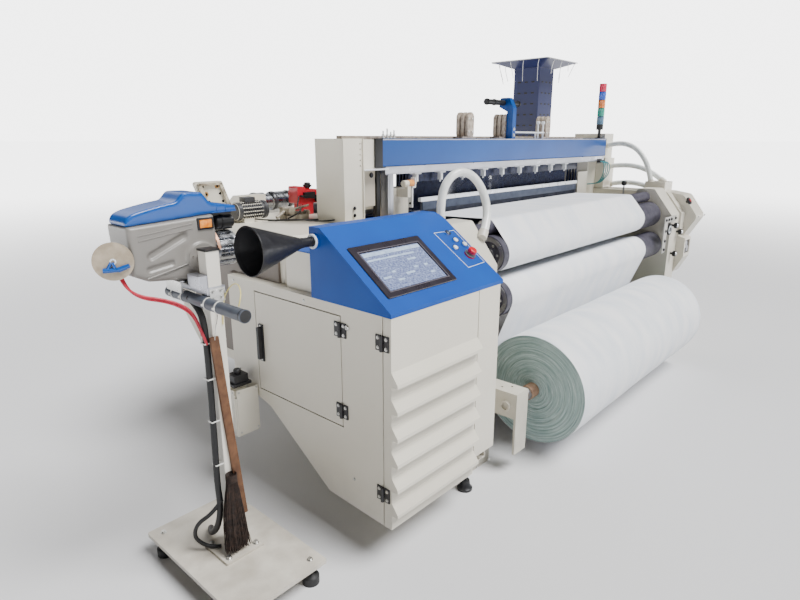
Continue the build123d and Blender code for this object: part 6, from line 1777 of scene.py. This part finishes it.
# Reed: flat steel dents in a channel under a pale cap bar, on the sley
cap_pale = finish("cap_pale", (0.82, 0.85, 0.90), 0.3, 0.2)
grain(cap_pale, 0.003, 0.0001, (0.03, 1, 1))
cloudy(cap_pale, "Roughness", 0.24, 0.4, 0.06)
dress(cap_pale, "reed_cap")
dents = bmesh.new()
for number in range(300):
    dent_x = CLOTH_LEFT - 0.010 + 0.00619 * number
    slab(dents, (dent_x, 0.0008, 1.165), (dent_x + 0.0012, 0.0022, 1.262))
shaped("reed_dents", dents, sley_dark, smooth=0)
under_bar = bmesh.new()
slab(under_bar, (-1.000, -0.0035, 1.2150), (0.867, 0.0015, 1.2620), 0.0012)
navy_bar = mottled("navy_bar", (0.030, 0.042, 0.075), (0.022, 0.032, 0.060), (0.045, 0.060, 0.10), 0.4, 0.05)
shaped("reed_under_bar", under_bar, navy_bar)

# Right end: a cast cover in the side frames' enamel, with chromed caps on its three clamping knobs
dress(cast_enamel, "right_cover")
knob_caps = bmesh.new()
for knob_x, knob_z in ((1.236, 0.955), (1.366, 0.892), (1.280, 0.730)):
    turned(
        knob_caps,
        [(-0.001, 0.012), (0.001, 0.013), (0.004, 0.011), (0.0045, 0)],
        (knob_x, -0.682, knob_z), (0, -1, 0), 20,
    )
shaped("knob_caps", knob_caps, chrome)

# Window of the leg panel: a dark glossy pane behind two gear wheels, painted shade for the leg's unlit inside
leg_inside_shade = finish("leg_inside_shade", (0.018, 0.020, 0.024), 0.18)
cloudy(leg_inside_shade, "Roughness", 0.12, 0.3, 0.03)
piece("leg_window", leg_inside_shade, (slab, (1.410, -0.6975, 0.713), (1.520, -0.6945, 0.824), 0.001))
gears = bmesh.new()
for gear_x, gear_z, gear_r, teeth in ((1.448, 0.786, 0.030, 18), (1.484, 0.748, 0.024, 14)):
    turned(
        gears,
        [(0, 0), (0, gear_r), (0.003, gear_r), (0.003, gear_r * 0.3), (0.005, gear_r * 0.3), (0.005, 0)],
        (gear_x, -0.6975, gear_z), (0, -1, 0), 28,
    )
    for tooth in range(teeth):
        angle = 2 * math.pi * tooth / teeth
        spot = Vector((gear_x + gear_r * math.cos(angle), -0.6990, gear_z + gear_r * math.sin(angle)))
        bar(gears, spot + Vector((0, 0.0015, 0)), spot + Vector((0, -0.0015, 0)), 0.0028, 6)
shaped("window_gears", gears, turned_steel)

# Casting plate on the frame's front with its bolts, a bearing ring, and a black knob with a red spot
plate_grey = enamel("plate_grey", (0.50, 0.49, 0.45), (0.38, 0.37, 0.34), 0.5, 0.0008)
piece(
    "front_plate", plate_grey,
    (slab, (1.052, -0.6480, 0.985), (1.300, -0.6395, 1.030), 0.004),
    (slab, (1.052, -0.6480, 0.760), (1.120, -0.6395, 0.990), 0.004),
)
screws(
    "front_plate_bolts",
    [((x, -0.6480, 1.008), (0, -1, 0)) for x in (1.075, 1.130, 1.185, 1.277)]
    + [((1.086, -0.6480, z), (0, -1, 0)) for z in (0.785, 0.850, 0.925)],
    0.009, 0.007, black_oxide,
)
piece(
    "bearing_ring", moulded_black,
    (
        turned,
        [
            (0, 0), (0, 0.040), (0.004, 0.044), (0.012, 0.044), (0.014, 0.036), (0.010, 0.030),
            (0.010, 0.018), (0.016, 0.016), (0.016, 0),
        ],
        (1.170, -0.640, 0.930), (0, -1, 0), 36,
    ),
)
piece(
    "bearing_face", cap_white,
    (
        turned,
        [(0.0125, 0.0185), (0.0125, 0.0295), (0.0135, 0.0290), (0.0135, 0.0190), (0.0125, 0.0185)],
        (1.170, -0.640, 0.930), (0, -1, 0), 36,
    ),
)
cover_knob = bmesh.new()
slope_out = Vector((0, -0.87, 0.49)).normalized()
turned(
    cover_knob,
    [
        (-0.004, 0), (-0.004, 0.010), (0.010, 0.010), (0.010, 0.026), (0.016, 0.030), (0.026, 0.028),
        (0.030, 0.020), (0.030, 0),
    ],
    (1.452, -0.664, 1.118), slope_out, 24,
)
shaped("cover_knob", cover_knob, moulded_black)
piece(
    "cover_knob_spot", signal_red,
    (
        turned,
        [(0.0300, 0), (0.0300, 0.014), (0.0312, 0.013), (0.0315, 0)],
        (1.452, -0.664, 1.118), slope_out, 20,
    ),
)
screws(
    "cover_bolts",
    [((x, -0.7495, 1.005), (0, -0.9, -0.4)) for x in (1.50, 1.66)] + [
        ((x, y, 1.188), (0, 0, 1))
        for x in (1.50, 1.66) for y in (-0.30, 0.26)
    ],
    0.007, 0.004,
)

# Teal air tubes with black fittings at the air box, and a slim sensor post
tube_teal = mottled("tube_teal", (0.06, 0.30, 0.33), (0.045, 0.24, 0.27), (0.09, 0.38, 0.41), 0.28, 0.02)
for number in range(4):
    tube_x = 1.262 + 0.022 * number
    wire(
        f"air_tube_{number}",
        [
            (tube_x, 0.012, 1.420), (tube_x, -0.030, 1.418),
            (tube_x - 0.004, -0.052 - 0.006 * number, 1.395),
            (tube_x - 0.006, -0.050 - 0.006 * number, 1.320),
            (tube_x, -0.020, 1.262), (tube_x, 0.020, 1.235), (tube_x, 0.089, 1.230),
        ],
        0.0040, tube_teal,
    )
fittings = bmesh.new()
for number in range(4):
    tube_x = 1.262 + 0.022 * number
    turned(
        fittings,
        [(0, 0), (0, 0.0085), (0.022, 0.0085), (0.026, 0.0055), (0.026, 0)],
        (tube_x, 0.013, 1.420), (0, -1, 0), 16,
    )
slab(fittings, (1.248, 0.012, 1.402), (1.346, 0.0135, 1.438), 0.0004)
shaped("air_fittings", fittings, moulded_black)
piece(
    "sensor_post", turned_steel,
    (bar, (1.205, -0.250, 1.085), (1.205, -0.250, 1.245), 0.007, 14),
    (slab, (1.185, -0.270, 1.083), (1.225, -0.230, 1.095), 0.002),
)
piece(
    "sensor_knob", moulded_black,
    (
        turned,
        [(0, 0), (0, 0.015), (0.005, 0.020), (0.030, 0.020), (0.036, 0.014), (0.036, 0)],
        (1.205, -0.250, 1.240), (0, 0, 1), 20,
    ),
)

# Selvedge creel: an indigo square column behind the healds with a flared tray on top, rows of thin black
# plates as painted shade for the slots of the spools' pins, and short white threads that hang from the tray's
# edge.
column_indigo = enamel("column_indigo", (0.020, 0.028, 0.11), (0.014, 0.020, 0.085), 0.4, 0.0002)
dress(column_indigo, "selvedge_creel")
# Slots: thin black plates on the faces, painted shade for the slots' dark openings
slots = bmesh.new()
for row in range(9):
    for column in (-0.062, 0.0, 0.062):
        slab(
            slots,
            (1.085 + column - 0.014, 0.4305, 1.36 + 0.085 * row),
            (1.085 + column + 0.014, 0.4322, 1.372 + 0.085 * row),
            0.0006,
        )
        slab(
            slots,
            (0.9655, 0.550 + column - 0.014, 1.36 + 0.085 * row),
            (0.9672, 0.550 + column + 0.014, 1.372 + 0.085 * row),
            0.0006,
        )
shaped("creel_slot_shade", slots, moulded_black)
edge_threads = bmesh.new()
random.seed(3)
for number in range(15):
    angle = 2 * math.pi * number / 15 + random.uniform(-0.08, 0.08)
    reach = 0.255 / max(abs(math.cos(angle)), abs(math.sin(angle)))
    start = Vector((1.085 + reach * math.cos(angle), 0.550 + reach * math.sin(angle), 2.196))
    inward = Vector((-math.cos(angle), -math.sin(angle), 0)) * random.uniform(0.0, 0.05)
    drop = random.uniform(0.05, 0.17)
    last = start
    for part in range(1, 6):
        share = part / 5
        after = start + inward * share + Vector(
            (0.004 * math.sin(3 * share + number), 0.004 * math.cos(2 * share), -drop * share)
        )
        bar(edge_threads, last, after, 0.0022, 6)
        last = after
thread_white = finish("thread_white", (0.86, 0.86, 0.85), 0.7)
grain(thread_white, 0.0006, 0.0001)
shaped("edge_threads", edge_threads, thread_white)
tray_rim = bmesh.new()
for side in range(4):
    way = Matrix.Rotation(math.pi / 2 * side, 3, "Z")
    a = way @ Vector((-0.235, -0.2635, 0)) + Vector((1.085, 0.550, 2.2015))
    b = way @ Vector((0.235, -0.2635, 0)) + Vector((1.085, 0.550, 2.2015))
    bar(tray_rim, a, b, 0.0034, 10)
shaped("tray_rim", tray_rim, turned_steel)

# Light tower: stacked lenses on a short tube, smoke, green, orange, blue and red from below
LENSES = ((0.10, 0.24, 0.38), (0.02, 0.42, 0.30), (0.95, 0.26, 0.05), (0.03, 0.12, 0.70), (0.80, 0.02, 0.09))
dress(moulded_black, "light_tower")
for number, colour in enumerate(LENSES):
    lens = finish(f"lens_{number}", colour, 0.14)
    shader = shader_of(lens)
    shader.inputs["Coat Weight"].default_value = 0.5
    cloudy(lens, "Base Color", tuple(0.8 * part for part in colour), colour, 0.02)
    foot = 1.710 + 0.064 * number
    rings = bmesh.new()
    profile = [(0.003, 0.0274), (0.004, 0.0279)]
    for ridge in range(9):
        at = 0.006 + 0.006 * ridge
        profile += [(at, 0.0281), (at + 0.0015, 0.0284), (at + 0.003, 0.0281)]
    profile += [(0.0625, 0.0279), (0.0640, 0.0274)]
    if number == 4:
        profile = profile[:-1] + [(0.0636, 0.0250), (0.0638, 0.0)]
    turned(rings, profile, (1.350, 0.059, foot), (0, 0, 1), 36)
    if number == 4:
        for vertex in rings.verts:
            vertex.co.z = min(vertex.co.z, 2.0299)
    shaped(f"tower_lens_{number}", rings, lens)

# Eyelet disc: a thin tan plate with a ceramic eye, on a blue arm from the feeder's end cap
dress(disc_beige, "eyelet_disc")
DISC_MIDDLE = Vector((-2.790, -0.262, 1.234))
DISC_OUT = Vector((-0.5, -0.86, 0)).normalized()
DISC_ACROSS = Vector((0.86, -0.5, 0)).normalized()
piece(
    "disc_eye", cap_white,
    (
        turned,
        [
            (0.0, 0.0070), (0.001, 0.0095), (0.003, 0.0100), (0.0042, 0.0085), (0.0042, 0.0055),
            (0.0, 0.0052), (0.0, 0.0070),
        ],
        DISC_MIDDLE, DISC_OUT, 24,
    ),
)
disc_arm = bmesh.new()
for start, end, radius in (
    ((-0.030, -0.026), (0.012, -0.026), 0.0080), ((0.012, -0.026), (0.046, -0.014), 0.0085),
    ((-0.016, -0.020), (-0.006, -0.002), 0.0050), ((0.004, -0.020), (-0.002, -0.002), 0.0050),
):
    a = DISC_MIDDLE + DISC_ACROSS * start[0] + Vector((0, 0, start[1])) + DISC_OUT * 0.006
    b = DISC_MIDDLE + DISC_ACROSS * end[0] + Vector((0, 0, end[1])) + DISC_OUT * 0.006
    bar(disc_arm, a, b, radius, 12, radius * 0.8)
shaped("disc_arm", disc_arm, cover_blue)

# Brush: a brown wooden stick with a bundle of dark bristles bound to it, on a wire hook at the post
brush_wood = mottled(
    "brush_wood", (0.13, 0.055, 0.022), (0.085, 0.035, 0.014), (0.17, 0.075, 0.032), 0.6, 0.03
)
grain(brush_wood, 0.004, 0.0004, (1, 1, 0.06))
bristle_brown = mottled(
    "bristle_brown", (0.020, 0.011, 0.008), (0.010, 0.006, 0.005), (0.040, 0.021, 0.014), 0.85, 0.012
)
BRUSH_BACK = -0.380
stick = bmesh.new()
corners = [
    (-2.561, 0.955), (-2.529, 0.955), (-2.5045, 0.640), (-2.471, 0.241), (-2.503, 0.241), (-2.5365, 0.640),
]
outline = [stick.verts.new((x, BRUSH_BACK - 0.0005, z)) for x, z in corners]
face = stick.faces.new(outline)
drawn = bmesh.ops.extrude_face_region(stick, geom=[face])
bmesh.ops.translate(
    stick,
    vec=(0, -0.0112, 0),
    verts=[v for v in drawn["geom"] if isinstance(v, bmesh.types.BMVert)],
)
bmesh.ops.bevel(stick, geom=stick.edges[:], offset=0.0028, segments=2, profile=0.7, affect="EDGES")
brush_stick = shaped("brush_stick", stick, brush_wood)

BRISTLE_SOCKETS = (("Strands", "Geometry"), ("Thickness", "Float"), ("Hair", "Material"))
bristle_recipe, hair_in, hair_out = new_recipe("bristle_recipe", BRISTLE_SOCKETS, "Bundle")
hair_line = node(bristle_recipe, "GeometryNodeMeshToCurve")
hair_round = node(bristle_recipe, "GeometryNodeCurvePrimitiveCircle", Resolution=4)
hair_tube = node(bristle_recipe, "GeometryNodeCurveToMesh", Fill_Caps=True)
hair_real = node(bristle_recipe, "GeometryNodeRealizeInstances")
hair_set = node(bristle_recipe, "GeometryNodeSetMaterial")
for wiring in (
    (hair_in, "Strands", hair_line, "Mesh"), (hair_in, "Thickness", hair_round, "Radius"),
    (hair_line, "Curve", hair_tube, "Curve"),
    (hair_round, "Curve", hair_tube, "Profile Curve"),
    (hair_tube, "Mesh", hair_real, "Geometry"), (hair_real, 0, hair_set, "Geometry"),
    (hair_in, "Hair", hair_set, "Material"), (hair_set, 0, hair_out, "Bundle"),
):
    link(*wiring)
random.seed(21)
strand_points, strand_edges = [], []
for _ in range(620):
    share = random.random()
    depth = random.random()
    top = Vector(
        (-2.552 + 0.030 * share + 0.004, BRUSH_BACK - 0.006 - 0.022 * depth, 0.425 - 0.03 * random.random())
    )
    middle_x = -2.578 + 0.078 * share + random.uniform(-0.012, 0.012)
    middle = Vector((middle_x, BRUSH_BACK - 0.004 - 0.033 * depth, 0.265 + 0.02 * random.random()))
    tip = Vector((
        -2.572 + 0.080 * share + random.uniform(-0.014, 0.014),
        BRUSH_BACK - 0.003 - 0.036 * depth, 0.118 + 0.10 * random.random() ** 2,
    ))
    first = len(strand_points)
    for part in range(6):
        t = part / 5
        strand_points.append((1 - t) ** 2 * top + 2 * t * (1 - t) * middle + t * t * tip)
        if part:
            strand_edges.append((first + part - 1, first + part))
strand_mesh = bpy.data.meshes.new("brush_bristles")
strand_mesh.from_pydata(strand_points, strand_edges, [])
bristles = placed("brush_bristles", strand_mesh)
made_by_recipe(bristles, bristle_recipe, {"Thickness": 0.0012, "Hair": bristle_brown}, "root")
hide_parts("cleaning_brush")
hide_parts("cleaning_brush")
binding = bmesh.new()
for number in range(7):
    height = 0.402 + 0.0045 * number
    turned(
        binding,
        [(0, 0.0195), (0.001, 0.0207), (0.003, 0.0207), (0.004, 0.0195)],
        (-2.5335, BRUSH_BACK - 0.0195, height), (0, 0, 1), 20,
    )
for vertex in binding.verts:
    vertex.co.y = min(vertex.co.y, BRUSH_BACK - 0.0002)
shaped("brush_binding", binding, bristle_brown)

# Wires on the stand: a black ribbed conduit down the post's left with white ties, a red lead from the
# feeder's end cap down under its body to the post, and a yellow wire loop at the tube.
conduit_black = finish("conduit_black", (0.006, 0.006, 0.007), 0.5)
grain(conduit_black, 0.003, 0.0005, (1, 1, 0.3))
lead_red = mottled("lead_red", (0.50, 0.010, 0.035), (0.42, 0.008, 0.028), (0.56, 0.02, 0.05), 0.35, 0.02)
lead_yellow = mottled("lead_yellow", (0.78, 0.66, 0.20), (0.68, 0.56, 0.14), (0.84, 0.74, 0.30), 0.4, 0.02)
CONDUIT_X = -2.5605
wire(
    "post_conduit",
    [
        (-2.575, -0.300, 1.085), (-2.566, -0.352, 1.050), (CONDUIT_X, -0.362, 0.980),
        (CONDUIT_X, -0.362, 0.780), (CONDUIT_X - 0.004, -0.362, 0.560),
        (CONDUIT_X - 0.010, -0.364, 0.400), (CONDUIT_X - 0.006, -0.366, 0.290),
        (CONDUIT_X - 0.018, -0.350, 0.205), (CONDUIT_X - 0.010, -0.290, 0.150),
        (CONDUIT_X + 0.010, -0.240, 0.125), (-2.530, -0.205, 0.1085),
    ],
    0.0115, conduit_black, "root", 16,
)
wire(
    "conduit_loop",
    [
        (CONDUIT_X - 0.004, -0.374, 0.330), (-2.592, -0.350, 0.275), (-2.632, -0.302, 0.230),
        (-2.642, -0.286, 0.172), (-2.618, -0.300, 0.132), (-2.588, -0.318, 0.112),
        (-2.562, -0.334, 0.1085),
    ],
    0.0075, conduit_black, "root", 12,
)
conduit_ties = bmesh.new()
for height in (0.470, 0.640, 0.800, 0.930):
    tie_x = CONDUIT_X - 0.014
    slab(conduit_ties, (tie_x - 0.0012, -0.3765, height), (-2.4935, -0.3752, height + 0.005), 0.0005)
    slab(conduit_ties, (tie_x - 0.0012, -0.3765, height), (tie_x + 0.0004, -0.3480, height + 0.005), 0.0005)
    slab(conduit_ties, (tie_x, -0.3490, height), (-2.5450, -0.3478, height + 0.005), 0.0005)
shaped("conduit_ties", conduit_ties, tie_white)
for number, (drop, shift) in enumerate(((0.0, 0.0), (0.010, 0.008))):
    wire(
        f"red_lead_{number}",
        [
            (-2.770 + shift, -0.236, 1.190 - drop * 0.3), (-2.765 + shift, -0.252, 1.150 - drop),
            (-2.728 + shift, -0.268, 1.112 - drop), (-2.660 + shift, -0.286, 1.092 - drop),
            (-2.612, -0.308, 1.070 - drop), (-2.590, -0.345, 1.045 - drop),
            (-2.580, -0.372, 0.985 - drop), (-2.566, -0.3755, 0.930),
        ],
        0.0042, lead_red, "root", 12,
    )
wire(
    "yellow_lead",
    [
        (-2.549, -0.560, 1.0965), (-2.535, -0.560, 1.130), (-2.505, -0.500, 1.150),
        (-2.488, -0.440, 1.140), (-2.488, -0.400, 1.110), (-2.500, -0.386, 1.070),
        (-2.505, -0.3835, 0.990),
    ],
    0.0020, lead_yellow, "root", 8,
)
wire(
    "brush_hook",
    [
        (-2.545, -0.391, 0.945), (-2.544, -0.398, 0.985), (-2.532, -0.394, 1.010), (-2.522, -0.384, 1.030),
        (-2.520, -0.3812, 1.060),
    ],
    0.0014, bright_zinc,
)
